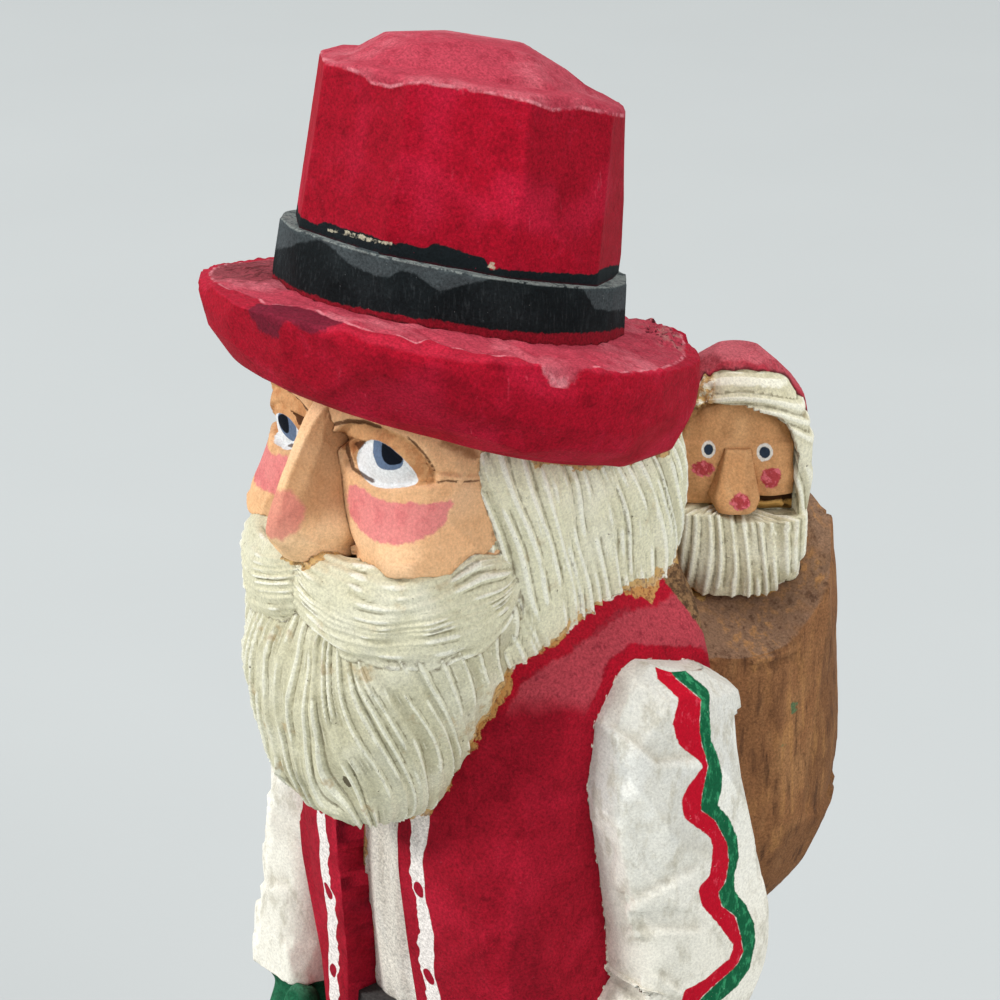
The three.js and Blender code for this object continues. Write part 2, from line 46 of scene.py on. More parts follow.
MM = 0.001
TURN = 2 * np.pi
FRONT = -np.pi / 2  # the figure faces -Y
BASE = 10  # thickness of the base: heights below are above the soles, which stand on it
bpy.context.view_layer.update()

# %% [markdown]
# ## Camera, floor and light
# The photograph looks down on the figure from its left front. The camera is far away with a long
# lens, as in a catalogue picture. A big pale floor fills the picture behind the figure, and wide,
# weak lamps give the soft light of a light tent, which hardly throws a shadow.

# %% Camera
AZIMUTH, ELEVATION, DISTANCE = np.radians(48), np.radians(22), 0.62
aim = Vector((0, 0, 0.232))
level = np.cos(ELEVATION)
toward = Vector((np.sin(AZIMUTH) * level, -np.cos(AZIMUTH) * level, np.sin(ELEVATION)))
camera = bpy.data.objects.new("camera", bpy.data.cameras.new("camera"))
bpy.context.collection.objects.link(camera)
camera.location = aim + toward * DISTANCE
camera.rotation_euler = toward.to_track_quat("Z", "Y").to_euler()
camera.data.lens = 3.1 * camera.data.sensor_width
bpy.context.scene.camera = camera
print("camera at", [round(v, 3) for v in camera.location])


# %% Lamps and floor
def soft_lamp(name, place, power, size):
    """A square lamp that looks at the middle of the figure."""
    lamp = bpy.data.objects.new(name, bpy.data.lights.new(name, "AREA"))
    bpy.context.collection.objects.link(lamp)
    lamp.location = place
    lamp.rotation_euler = (Vector(place) - aim).to_track_quat("Z", "Y").to_euler()
    lamp.data.energy, lamp.data.size = power, size
    print(f"{name}: {power} W, {size} m wide")


soft_lamp("lamp_front_left", (-2.2, -4.3, 3.3), 240, 1.5)
soft_lamp("lamp_right", (4.6, 0.2, 2.6), 95, 2.6)
soft_lamp("lamp_top", (0.3, 0.6, 5.5), 125, 3.0)
world = bpy.data.worlds.new("light_tent")
world.use_nodes = True
world.node_tree.nodes["Background"].inputs["Color"].default_value = (0.97, 0.99, 1, 1)
world.node_tree.nodes["Background"].inputs["Strength"].default_value = 0.5
bpy.context.scene.world = world
bpy.context.scene.view_settings.view_transform = "Standard"

ground = bmesh.new()
bmesh.ops.create_grid(ground, x_segments=1, y_segments=1, size=4)
floor = bpy.data.objects.new("floor", bpy.data.meshes.new("floor"))
ground.to_mesh(floor.data)
ground.free()
bpy.context.collection.objects.link(floor)

# %% [markdown]
# ## Shader maths in plain Python
# A material is a tree of nodes. Written out node by node, even a small sum takes many lines. So one
# class wraps a socket and lets Python's own signs add the Math nodes, and one method of Paint adds
# every other node.


# %% Paint and Tone
class Tone:
    """A socket of a material, which can be used in sums."""

    def __init__(self, paint, socket):
        self.paint, self.socket = paint, socket

    def maths(self, operation, *values):
        return self.paint.node("Math", {"operation": operation}, dict(enumerate(values)))

    def __add__(self, other):
        return self.maths("ADD", self, other)

    def __sub__(self, other):
        return self.maths("SUBTRACT", self, other)

    def __rsub__(self, other):
        return self.maths("SUBTRACT", other, self)

    def __mul__(self, other):
        return self.maths("MULTIPLY", self, other)

    def __truediv__(self, other):
        return self.maths("DIVIDE", self, other)

    __radd__, __rmul__ = __add__, __mul__

    def above(self, low, high):
        """0 below low and 1 above high, with a soft step between. With low over high it turns round."""
        ends = {0: self, 1: min(low, high), 2: max(low, high), 3: float(low > high), 4: float(low < high)}
        return self.paint.node("MapRange", {"interpolation_type": "SMOOTHSTEP"}, ends)

    def most(self, other):
        return self.maths("MAXIMUM", self, other)

    def size(self):
        return self.maths("ABSOLUTE", self)


class Paint:
    """A material, and the one place that adds nodes to it."""

    def __init__(self, name):
        self.material, self.shapes = bpy.data.materials.new(name), set()
        self.material.use_nodes = True
        self.tree = self.material.node_tree
        self.tree.nodes.clear()
        place = self.node("TexCoord", output="Object")
        self.spot = self.node("VectorMath", {"operation": "SCALE"}, {0: place, "Scale": 1000.0})  # mm

    def node(self, kind, settings={}, inputs={}, output=0):
        made = self.tree.nodes.new("ShaderNode" + kind)
        for key, value in settings.items():
            setattr(made, key, value)
        for key, value in inputs.items():
            if isinstance(value, Tone):
                self.tree.links.new(value.socket, made.inputs[key])
            else:
                made.inputs[key].default_value = value
        return None if output is None else Tone(self, made.outputs[output])

    def mark(self, name):
        """A value that the carving left on the mesh."""
        return self.node("Attribute", {"attribute_name": name}, output="Fac")

    def shape(self, name):
        """A mark that is the distance inside an outline. Pieces without it get OUTSIDE later."""
        self.shapes.add(name)
        return self.mark(name)

    def patch(self, name, wobble, low, high):
        """1 inside an outline and 0 outside it, with a painted edge that wanders by about wobble mm."""
        return (self.shape(name) + (self.ragged - 0.5) * wobble).above(low, high)

    def grain(self, tone, fine, contrast):
        """Make any colour a little lighter and darker, as fine as the grain of the wood."""
        return self.blend(tone, (fine - 0.5) * contrast + 1.0, 1.0, "MULTIPLY")

    def noise(self, size, detail=2.0, rough=0.5, stretch=(1, 1, 1), turn=(0, 0, 0), warp=0.0):
        """Blotches about size mm across, round 0.5. They may be stretched along an axis."""
        scale = tuple(1 / (size * s) for s in stretch)
        spot = self.node("Mapping", {}, {"Vector": self.spot, "Scale": scale, "Rotation": turn})
        settings = {"Vector": spot, "Scale": 1.0, "Detail": detail, "Roughness": rough, "Distortion": warp}
        return self.node("TexNoise", {}, settings)

    def blend(self, first, second, share, way="MIX"):
        """The second colour over the first one."""
        settings = {"data_type": "RGBA", "blend_type": way}
        return self.node("Mix", settings, {0: share, 6: first, 7: second}, 2)

    def finish(self, colour, rough, height, bump=0.25, sheen=0.3):
        """The surface itself. height is in tenths of a millimetre."""
        relief = self.node("Bump", {}, {"Strength": bump, "Distance": 0.0001, "Height": height})
        sockets = {"Base Color": colour, "Roughness": rough, "Normal": relief, "Specular IOR Level": sheen}
        self.node("OutputMaterial", {}, {"Surface": self.node("BsdfPrincipled", {}, sockets)}, None)
        print(f"{self.material.name}: {len(self.tree.nodes)} nodes")


def rgb(red, green, blue):
    """A colour as a picture program gives it, turned into the linear one that a shader needs."""
    share = np.array([red, green, blue]) / 255
    linear = np.where(share <= 0.04045, share / 12.92, ((share + 0.055) / 1.055) ** 2.4)
    return (*linear.tolist(), 1.0)


stone = Paint("pale_floor")
grey = stone.blend(rgb(185, 189, 189), rgb(188, 192, 192), stone.noise(120))
stone.finish(grey, 0.9, stone.noise(1.5), 0.02, 0.0)
floor.data.materials.append(stone.material)

# %% [markdown]
# ## Blocking out
# Every form of the figure is a bulging closed shape: level rings stacked up, or rings square to a
# bent path. It could be pulled out of a cube with a few levels of subdivision, but then its vertices
# lie unevenly. Here each one starts as the same tube with closed ends, subdivide_edges cuts that into
# rings, and every vertex moves to its place on its ring. The sizes at a few heights are the same as
# in the CAD source, with a smooth curve through them, and the mesh is fine enough for the cuts that
# follow.


# %% Block
def unit(vectors):
    return vectors / np.linalg.norm(vectors, axis=-1, keepdims=True)


def step(value, low, high):
    """0 at low and 1 at high, with a soft start and end."""
    f = np.clip((value - low) / (high - low), 0, 1)
    return f * f * (3 - 2 * f)


blocks = []


class Block:
    """One form while it is carved: a mesh whose points are read and set in mm.

    It has so many rows of rings, with so many vertices around. The first and last few rings, its caps,
    shrink to a point. crowd draws the vertices of each ring together at its front.
    """

    def __init__(self, name, around, rows, place, caps=3, crowd=0.0, facing=FRONT):
        tube = bmesh.new()
        shape = dict(segments=around, radius1=1, radius2=1, depth=2)
        bmesh.ops.create_cone(tube, cap_ends=True, cap_tris=True, **shape)
        ribs = [edge for edge in tube.edges if abs(edge.verts[0].co.z - edge.verts[1].co.z) > 1]
        bmesh.ops.subdivide_edges(tube, edges=ribs, cuts=rows - 3)
        self.name, self.mesh = name, bpy.data.meshes.new(name)
        tube.to_mesh(self.mesh)
        tube.free()
        x, y, z = self.read("co").T
        row = np.where(np.hypot(x, y) > 0.5, 1 + np.rint((z + 1) / 2 * (rows - 2)), (z > 0) * rows)
        column = np.rint((np.arctan2(y, x) - facing) / TURN * around)
        self.turn = (column / around + 0.5) % 1 * TURN - np.pi  # 0 in front, and half a turn at the back
        self.turn -= crowd * np.sin(self.turn)
        self.angle = facing + self.turn
        self.size = np.minimum(1, np.minimum(row, rows - row) / caps)
        self.share = np.clip((row - caps) / (rows - 2 * caps), 0, 1)
        self.set(place(self.angle, self.share, self.size))
        self.mesh.shade_smooth()
        blocks.append(self)
        print(f"{name}: {rows} rings of {around} vertices")

    def read(self, what):
        values = np.empty(len(self.mesh.vertices) * 3, np.float32)
        self.mesh.vertices.foreach_get(what, values)
        return values.reshape(-1, 3).astype(float)

    def set(self, points):
        self.mesh.vertices.foreach_set("co", (np.asarray(points) * MM).astype(np.float32).ravel())
        self.mesh.update()

    @property
    def points(self):
        return self.read("co") / MM

    @property
    def normals(self):
        return self.read("normal")

    def raise_by(self, height):
        """Move the surface out by height, in mm. Less than 0 cuts into the wood."""
        self.set(self.points + np.asarray(height)[:, None] * self.normals)

    def mark(self, name, values):
        """Keep a value at every vertex for the paint."""
        mark = self.mesh.attributes.get(name) or self.mesh.attributes.new(name, "FLOAT", "POINT")
        mark.data.foreach_set("value", np.asarray(values, np.float32))


# %% Rings
def sizes_at(table, share):
    """The columns of a table of stations at a share of its length, on a smooth curve through them."""
    table = np.array(table, float)
    last = len(table) - 1
    start = np.minimum(np.floor(share * last), last - 1).astype(int)
    f = (share * last - start)[:, None]
    a, b, c, d = (table[np.clip(start + i, 0, last)] for i in (-1, 0, 1, 2))
    return (2 * b + (c - a) * f + (2 * a - 5 * b + 4 * c - d) * f**2 + (3 * b - a - 3 * c + d) * f**3) / 2


def outline(angle, half, front, back, square):
    """A point of a rounded box outline: square 2 is an ellipse, more is boxier."""
    c, s = np.cos(angle), np.sin(angle)
    deep = np.where(s < 0, front, back)
    reach = (np.abs(c / half) ** square + np.abs(s / deep) ** square) ** (-1 / square)
    return reach * c, reach * s


def stacked(table, lift=None, turn=0.0, at=(0, 0, 0)):
    """Level rings. A station is height, x, y, half width, depth in front, depth behind, square."""

    def place(angle, share, size):
        z, x, y, half, front, back, square = sizes_at(table, share).T
        across, along = outline(angle, half, front, back, square)
        x, y = x + across * size, y + along * size
        z = z + (lift(share, along * size) if lift else 0)
        c, s = np.cos(turn), np.sin(turn)
        return np.stack([c * x - s * y + at[0], s * x + c * y + at[1], z + at[2] + BASE], 1)

    return place


def swept(table, side, square=2.0):
    """Rings square to a path. A station is x, y, height, half width along side, half depth."""

    def place(angle, share, size):
        wide, deep = sizes_at(table, share)[:, 3:].T
        path = sizes_at(table, share)[:, :3]
        ahead = sizes_at(table, np.clip(share + 0.01, 0, 1))[:, :3]
        behind = sizes_at(table, np.clip(share - 0.01, 0, 1))[:, :3]
        along = unit(ahead - behind)
        axis = np.array(side, float)
        wide_axis = unit(axis - (along @ axis)[:, None] * along)
        deep_axis = np.cross(along, wide_axis)
        across, off = outline(angle, wide, deep, deep, square)
        path = path + wide_axis * (across * size)[:, None] + deep_axis * (off * size)[:, None]
        return path + (0, 0, BASE)

    return place


def egg(x, y, z, half_width, half_depth, half_height, turn=0.0):
    """An egg at a height above the soles, turned about its upright."""

    def place(angle, share, size):
        lie = np.pi * share
        ring = np.sin(lie)
        a, b = half_width * ring * np.cos(angle), half_depth * ring * np.sin(angle)
        c, s = np.cos(turn), np.sin(turn)
        return np.stack([x + c * a - s * b, y + s * a + c * b, z - half_height * np.cos(lie) + BASE], 1)

    return place


# %% [markdown]
# ## Knife cuts and gouge strokes
# A knife leaves flat facets that meet in faint ridges. That can be sculpted by hand, or made with
# boolean cuts, but here it is worked out: planes touch the form at scattered spots, each tilted a
# little, and every vertex drops to the lowest plane near it. A gouge leaves long hollows side by
# side with a thin ridge between two of them. Both keep how close a vertex is to a ridge, because
# paint is thin and worn there, and the paint also puts a painted highlight on it. The knife keeps
# a random tone for each facet as well, for painted shading from facet to facet, and the gouge keeps
# the thin line beside each ridge, where a painted shadow goes.


# %% Knife
def knife(block, size, tilt=4.0, depth=0.6, sink=0.25, stretch=(1, 1, 1), seed=1, where=1.0):
    """Cut the form into facets about size mm across. stretch makes them longer along an axis."""
    chance = np.random.default_rng(seed)
    points, normals = block.points, block.normals
    no_reach = 9  # mm: a plane that doesn't cut here
    spots = []
    for i in chance.permutation(len(points))[:3000]:
        gaps = (points[spots] - points[i]) / stretch
        if not spots or (gaps**2).sum(1).min() > size**2:
            spots.append(i)
    middle = points[spots]
    flat = unit(normals[spots] + np.tan(np.radians(tilt)) * chance.normal(0, 0.6, (len(spots), 3)))
    gap, flat_number = np.empty((len(points), 2)), np.empty(len(points), int)
    for start in range(0, len(points), 15000):
        p, n = points[start : start + 15000], normals[start : start + 15000]
        lean = n @ flat.T
        reach = ((middle * flat).sum(1) - p @ flat.T) / np.maximum(lean, 0.1)
        away = sum(((p[:, k, None] - middle[None, :, k]) / stretch[k]) ** 2 for k in range(3))
        reach[(lean < 0.55) | (away > (2.2 * size) ** 2)] = no_reach
        gap[start : start + 15000] = np.partition(reach, 1, axis=1)[:, :2]
        flat_number[start : start + 15000] = reach.argmin(1)
    missed = gap[:, 0] > 5  # no facet reaches here, as at a sharp corner
    block.raise_by(np.where(missed, 0, np.clip(gap[:, 0] - sink, -depth, depth)) * where)
    # flat: a random tone for each facet, which the paint turns into painted shading, as if each facet
    # caught the light its own way
    block.mark("flat", chance.uniform(-1, 1, len(spots))[flat_number] * ~missed)
    # edge: how near a ridge between two facets is, where the paint is worn and gets a painted highlight
    block.mark("edge", np.exp(-(((gap[:, 1] - gap[:, 0]) / 0.12) ** 2)) * np.minimum(1, where))
    print(f"{block.name}: {len(spots)} facets")


def ripple(points, length, seed=1):
    """Slow random waves between about -1 and 1, for drift and unevenness."""
    chance = np.random.default_rng(seed)
    ways = unit(chance.normal(size=(7, 3))) * TURN / (length * chance.uniform(0.7, 1.6, (7, 1)))
    return np.sin(points @ ways.T + chance.uniform(0, TURN, 7)).sum(1) / 3.2


# %% Gouge
def gouge(across, along, pitch, depth, ridge, drift=0.5, seed=1):
    """Hollows side by side along a form: the height in mm, how near a ridge is, and the thin line beside it
    that the paint darkens as a painted shadow.
    """
    chance = np.random.default_rng(seed)
    span = across.max() - across.min() + 20
    lines = across.min() - 10 + np.cumsum(chance.uniform(*pitch, int(span / pitch[0]) + 2))
    slow = chance.uniform(0, TURN, 4)
    bend = np.sin(along / 13 + slow[0] + across / 11) + 0.5 * np.sin(along / 5.3 + slow[1] + across / 4)
    bent = across + drift * bend
    stroke = np.clip(np.searchsorted(lines, bent), 1, len(lines) - 1)
    width = lines[stroke] - lines[stroke - 1]
    f = np.clip((bent - lines[stroke - 1]) / width, 0, 1)
    near = np.where(f < 0.5, stroke - 1, stroke)  # the ridge that is next to this point
    spans = (0.0, 1.0), (-0.9, 0.9), (-0.4, 0.3)
    deep, lean, level = (chance.uniform(low, high, len(lines))[stroke] for low, high in spans)
    wave, start = chance.uniform(4, 11, len(lines)), chance.uniform(0, TURN, len(lines))
    swing = np.sin(along / wave[near] + start[near]) + 0.5 * np.sin(along / 2.3 + start[near])
    fade = step(swing, -1.1, -0.1)
    # crest is the ridge, for worn paint and a painted highlight; cut is the thin line beside it, for a
    # painted shadow
    crest = np.exp(-((np.minimum(f, 1 - f) * width / ridge) ** 2)) * fade
    cut = np.exp(-(((f * width - 2.2 * ridge) / (0.8 * ridge)) ** 2)) * fade
    hollow = depth * (lean * (f - 0.5) + level - 4 * f * (1 - f) * deep)
    return hollow + ridge * (0.7 * crest - 0.5 * cut), crest, cut


def strands(block, across, along, depth=0.5, broad=(2.8, 5.5), fine=(0.9, 2.0), seed=1, where=1.0):
    """Locks of hair: broad strokes with a gouge first, and fine ones with a V tool over them."""
    low, low_crest, low_cut_shadow = gouge(across, along, broad, depth, 0.5, 1.0, seed)
    high, high_crest, high_cut_shadow = gouge(across, along, fine, 0.35 * depth, 0.2, 0.5, seed + 1)
    patchy = step(ripple(block.points, 7, seed), -0.1, 0.5)
    height = (low + high * patchy + 0.25 * depth) * where
    block.raise_by(height)
    # ridge for worn paint and a painted highlight, cut for a painted shadow beside it, hollow for grime and
    # painted shade
    block.mark("ridge", np.maximum(low_crest, 0.7 * high_crest * patchy) * where)
    block.mark("cut", np.maximum(low_cut_shadow, 0.7 * high_cut_shadow * patchy) * where)
    block.mark("hollow", np.clip(-height / depth, 0, 1))
    print(f"{block.name}: strokes {broad[0]} to {broad[1]} mm wide, {-height.min():.2f} mm deep at most")


# %% [markdown]
# ## Stencils
# Painted shapes, such as the white of an eye, are outlines on a board that stands in front of the
# figure's cheek, square to the way the photograph looks. Each vertex keeps how far it is from the
# outline, inside more than 0. The paint then draws the edge where that is 0, with a little noise, so
# the edge is sharp however fine the mesh is. The board leans back as the camera does, so that a mark
# keeps its place in the picture when the surface under it is cut deeper.

# %% Board
BOARD = np.array([np.cos(AZIMUTH), np.sin(AZIMUTH)])
OUTSIDE = -9.0  # mm: the value of a painted mark where a piece has none of it


def on_board(points, mirror=False):
    """Where points lie on the board, across and up. mirror uses the same board for both cheeks."""
    x = np.abs(points[:, 0]) if mirror else points[:, 0]
    nearer = x * BOARD[1] - points[:, 1] * BOARD[0]
    across = x * BOARD[0] + points[:, 1] * BOARD[1]
    return np.stack([across, points[:, 2] - np.tan(ELEVATION) * nearer + 12], 1)


def to_line(spots, line, closed=False):
    """Distance from spots to a bent line, the side of it, and how far along it the nearest spot is."""
    line = np.array(line, float)
    starts = line if closed else line[:-1]
    ends = np.roll(line, -1, 0) if closed else line[1:]
    best, side, along, done = np.full(len(spots), 1e9), np.zeros(len(spots)), np.zeros(len(spots)), 0.0
    for a, b in zip(starts, ends):
        length = np.linalg.norm(b - a)
        way = (b - a) / length
        off = spots - a
        f = np.clip(off @ way, 0, length)
        gap = np.linalg.norm(off - f[:, None] * way, axis=1)
        nearer = gap < best
        best = np.where(nearer, gap, best)
        side = np.where(nearer, np.sign(off[:, 1] * way[0] - off[:, 0] * way[1]), side)
        along = np.where(nearer, done + f, along)
        done += length
    return best, side, along


def rounded(outline):
    """The same outline with each corner cut off twice, for shapes painted with a round brush."""
    for _ in range(2):
        corners = np.array(outline, float)
        following = np.roll(corners, -1, axis=0)
        pairs = [0.75 * corners + 0.25 * following, 0.25 * corners + 0.75 * following]
        outline = np.stack(pairs, 1).reshape(-1, 2)
    return outline


def inside(spots, shape):
    """How far spots are inside a closed outline. Outside it is less than 0."""
    x, y = spots.T
    within = np.zeros(len(spots), bool)
    for (ax, ay), (bx, by) in zip(shape, np.roll(shape, -1, axis=0)):
        if ay != by:
            within ^= ((ay > y) != (by > y)) & (x < (bx - ax) * (y - ay) / (by - ay) + ax)
    gap = to_line(spots, shape, closed=True)[0]
    return np.where(within, gap, -gap)


# %% [markdown]
# ## Hat
# The hat leans back and slopes down to the rear, and its brim was left thicker at one side. A lathe
# form (spin) would make it too round. So its rings are drawn in its own sloping plane, from a profile
# of radius and height as in the CAD source, and a function of the angle pulls each ring out of true.
# The crown's flats come from such a function too. Where the paint is rubbed off, a table says how
# high or how far out it goes at each place round the hat.

# %% Hat
HAT_Y, HAT_Z = -13.5, 263
BRIM_RADIUS, BRIM_THICKNESS, CROWN_RADIUS, CROWN_HEIGHT, BAND_HEIGHT = 48, 19, 31, 47.5, 14.5
HEAVY = np.radians(50)  # the side where the brim was left thicker


def hat_rings(profile, reach=None, rise=None):
    """Rings of the hat from a profile of radius and height. reach and rise pull them out of true."""
    profile = np.array(profile, float)
    lengths = np.r_[0, np.cumsum(np.linalg.norm(np.diff(profile, axis=0), axis=1))]

    def place(angle, share, size):
        radius, height = (np.interp(share * lengths[-1], lengths, profile[:, k]) for k in (0, 1))
        out = radius * size * (reach(angle, height) if reach else 1)
        y = HAT_Y + out * np.sin(angle)
        tilt = 0.27 - 0.02 * np.maximum(0, height) / CROWN_HEIGHT
        z = HAT_Z - (y - HAT_Y) * tilt + (rise(angle, height) if rise else height)
        return np.stack([out * np.cos(angle), y + height * 0.135, z + BASE], 1)

    return place


def heavy(angle, height):
    """1 at the foot of the brim where it is thickest, and -1 across from there."""
    return np.cos(angle - HEAVY) * np.minimum(0, height) / -BRIM_THICKNESS


def brim_reach(angle, height):
    """The brim is wider on its heavy side, and its edge wanders a little."""
    return 1 + 0.055 * heavy(angle, height) + 0.012 * np.cos(5 * angle + 1)


def brim_rise(angle, height):
    """The brim's top swells towards the heavy side, with a lump, and its underside hangs lower there."""
    away = (angle - HEAVY + np.pi) % TURN - np.pi
    lump = 1.1 * np.exp(-(((away - 0.32) / 0.32) ** 2))
    lift = 0.2 + 0.7 * np.cos(away) + lump
    return height + np.where(height > 0, lift, -0.16 * BRIM_THICKNESS * heavy(angle, height))


# R and T are the radius and the height of the form at hand. The brim hangs down from its upper face.
R, T = BRIM_RADIUS, 0.7 - BRIM_THICKNESS
brim_profile = [
    (0.56 * R, T), (0.78 * R, 0.94 * T), (0.9 * R, 0.76 * T), (0.975 * R, 0.45 * T), (R, 0.08 * T),
    (0.99 * R, 1), (0.95 * R, 2), (0.72 * R, 3.4),
]
brim = Block("hat_brim", 440, 88, hat_rings(brim_profile, brim_reach, brim_rise), caps=6)
brim.raise_by(0.35 * ripple(brim.points, 22, 4))
knife(brim, 11, tilt=4, sink=0.35, stretch=(1, 1, 1.6), seed=3)


def crown_reach(angle, height):
    """The crown was cut with a knife in tall flats, which are rounded off again only in part."""
    corners = np.radians([-150, -106, -63, -20, 19, 60, 101, 144, 178, 210])
    place = (angle - corners[0]) % TURN + corners[0] + np.radians(2) * np.sin(height / 8)
    k = np.clip(np.searchsorted(corners, place), 1, 9)
    middle, half = (corners[k] + corners[k - 1]) / 2, (corners[k] - corners[k - 1]) / 2
    flats = 1.012 - 0.7 * (1 - np.cos(half) / np.cos(np.clip(place - middle, -half, half)))
    flare = 0.05 * np.exp(-(((place - np.radians(48)) % TURN - np.pi) ** 2))
    return flats + flare * np.clip(1 - height / CROWN_HEIGHT, 0, 1)


R, T = CROWN_RADIUS, CROWN_HEIGHT
crown_profile = [
    (R, 0), (R, BAND_HEIGHT), (0.985 * R, 0.6 * T), (0.935 * R, 0.95 * T), (0.86 * R, T),
    (0.55 * R, 1.04 * T),
]
crown = Block("hat_crown", 320, 110, hat_rings(crown_profile, crown_reach), caps=18)
knife(crown, 12, tilt=4, depth=0.9, sink=0.35, stretch=(1, 1, 2.3), seed=8)
ridge_profile = [
    (0.86 * R, 0.97 * T), (0.74 * R, 1.03 * T), (0.64 * R, 1.075 * T), (0.44 * R, 1.13 * T),
    (0.18 * R, 1.155 * T),
]


def top_reach(angle, height):
    """The ridge on top is narrower across than it is long."""
    return 1 - 0.14 * np.abs(np.cos(angle))


crown_top = Block("hat_top", 160, 44, hat_rings(ridge_profile, top_reach), caps=6)
knife(crown_top, 9, tilt=9, depth=0.9, sink=0.4, seed=5)

R = CROWN_RADIUS + 2
band_profile = [(1.01 * R, 1), (1.01 * R, 0.55 * BAND_HEIGHT), (R, BAND_HEIGHT)]
band = Block("hat_band", 320, 28, hat_rings(band_profile), caps=4)
knife(band, 9, tilt=2.5, depth=0.4, sink=0.2, seed=9)


# %% Where the hat's paint is worn
def hat_place(block):
    """Where each vertex is round the hat in degrees, out from its middle and up from its brim in mm."""
    x, y, z = block.points.T
    up = (z - BASE - HAT_Z + (y - HAT_Y) * 0.26) / 1.035
    return np.degrees(np.arctan2(y - HAT_Y - 0.135 * up, x)), np.hypot(x, y - HAT_Y - 0.135 * up), up


def round_hat(degrees, table):
    """The value at a place round the hat, from a table that starts at its front right."""
    return np.interp((degrees + 125) % 360 - 125, *np.array(table, float).T)


# Each pair is degrees round the hat, and mm up from the brim or out from the middle.
WORN_TOP = [
    (-125, 45), (-95, 45.2), (-88, 45), (-81, 43.8), (-72, 43.9), (-66, 45), (-59, 46), (-36, 46.4),
    (-20, 46.2), (-10, 45.1), (5, 46.2), (28, 45.3), (50, 44.5), (90, 45.8), (140, 44.8), (190, 45.8),
    (235, 45),
]
BLACK_RISE = [
    (-125, 16), (-108, 16.5), (-97, 16), (-93, 17.2), (-84, 16.9), (-71, 17.2), (-66, 17), (-62, 16.6),
    (-60, 17.2), (-57, 17), (-52, 17), (-49, 18.3), (-37, 17.5), (-31, 17.1), (-29, 15.2), (-26, 15.8),
    (11, 16.3), (17, 17.1), (36, 17), (70, 15.5), (110, 17), (160, 16), (200, 17.5), (235, 16),
]
GREY_RISE = [
    (-125, 8), (-107, 10.3), (-101, 11.7), (-92, 13.5), (-88, 13.8), (-82, 12.8), (-75, 11.2),
    (-68, 10.5), (-62, 10.7), (-58, 12.4), (-53, 12.3), (-48, 10.8), (-45, 10), (-41, 11.3),
    (-36, 12.6), (-30, 14), (-20, 16), (0, 16), (12, 10), (40, 9), (60, 12), (90, 14), (120, 10),
    (160, 12), (200, 14), (235, 8),
]
RED_STRIP = [
    (-125, 3.6), (-75, 3.8), (-60, 4.4), (-44, 5), (-28, 5), (-14, 5.4), (6, 5.8), (32, 6), (60, 4),
    (235, 3.6),
]
RIM_RED = [
    (-125, 45.5), (-110, 45.2), (-103, 43.5), (-96, 43), (-89, 45), (-84, 40), (-78, 40), (-68, 42.9),
    (-62, 44.6), (-48, 45.1), (-46, 42), (-43, 44.3), (-30, 45.4), (-25, 45.2), (-22, 46.5),
    (-20, 47.8), (-17, 48.6), (-13, 48.3), (-7, 47.2), (-3, 48), (-1, 48.4), (2, 48), (13, 46.7),
    (22, 46.2), (46, 45.4), (80, 46.5), (110, 44.5), (150, 46), (190, 44.5), (235, 45.5),
]
BRUISE = [
    (-91, 2), (-86, -3.5), (-79, -3.2), (-77, 0.7), (-73, -0.6), (-69, -0.4), (-66, 2.2), (-67, 4),
    (-91, 4),
]
degrees, out, up = hat_place(crown)
crown.mark("worn", up - round_hat(degrees, WORN_TOP))
crown.mark("black", round_hat(degrees, BLACK_RISE) - up)
sliver = 0.4 - np.abs(up - 16.3 - 0.02 * (degrees + 78))
sliver += np.where((degrees > -92) & (degrees < -63), 0, OUTSIDE)
crown.mark("sliver", np.maximum(sliver, 0.8 - np.hypot(up - 16, 0.5 * (degrees + 29))))
crown_top.mark("worn", np.full(len(crown_top.points), 3.0))
degrees, out, up = hat_place(band)
band.mark("grey", up - round_hat(degrees, GREY_RISE))
band.mark("red strip", round_hat(degrees, RED_STRIP) - up)
band.mark("grey top", BAND_HEIGHT - up)
degrees, out, up = hat_place(brim)
brim.mark("worn", np.where(up > -2, round_hat(degrees, RIM_RED) - out, OUTSIDE))
bruised = inside(np.stack([degrees * 0.8, up], 1), [(0.8 * a, b) for a, b in BRUISE])
brim.mark("bruise", bruised)
print("bruise on the brim:", (bruised > 0).sum(), "vertices")
away = (degrees - 58 + 180) % 360 - 180
lump = np.exp(-((away / 16) ** 2) - ((out - 42) / 5) ** 2) * (up > 0)
chopped = lump * (0.9 + 0.9 * ripple(brim.points, 3, 5))
brim.raise_by(chopped + 0.25 * ripple(brim.points, 4, 7) * (brim.normals[:, 2] > 0.6))
brim.mark("rough", lump)
brim.mark("tip", np.exp(-((((degrees - 38) % 360 - 180) / 30) ** 2)) * (up > 0))

# %% [markdown]
# ## Hair
# The hair hangs in gouge strokes from under the brim to the collar. Hair is often made of curves that
# are turned into a mesh, but on the real figure it is the skin of the block, cut, so the strokes are
# cut into one form here as well. They lean outward with height, as the carver's hand swings round.


# %% Hair
def round_length(block, table):
    """How far round the form each vertex is from the front, in mm, less than 0 on the figure's right."""
    turns = np.linspace(-np.pi, np.pi, 721)
    half, front, back, square = np.mean(np.array(table)[:, 3:], axis=0)
    x, y = outline(FRONT + turns, half, front, back, square)
    lengths = np.r_[0, np.cumsum(np.hypot(np.diff(x), np.diff(y)))]
    return np.interp(block.turn, turns, lengths - lengths[360])


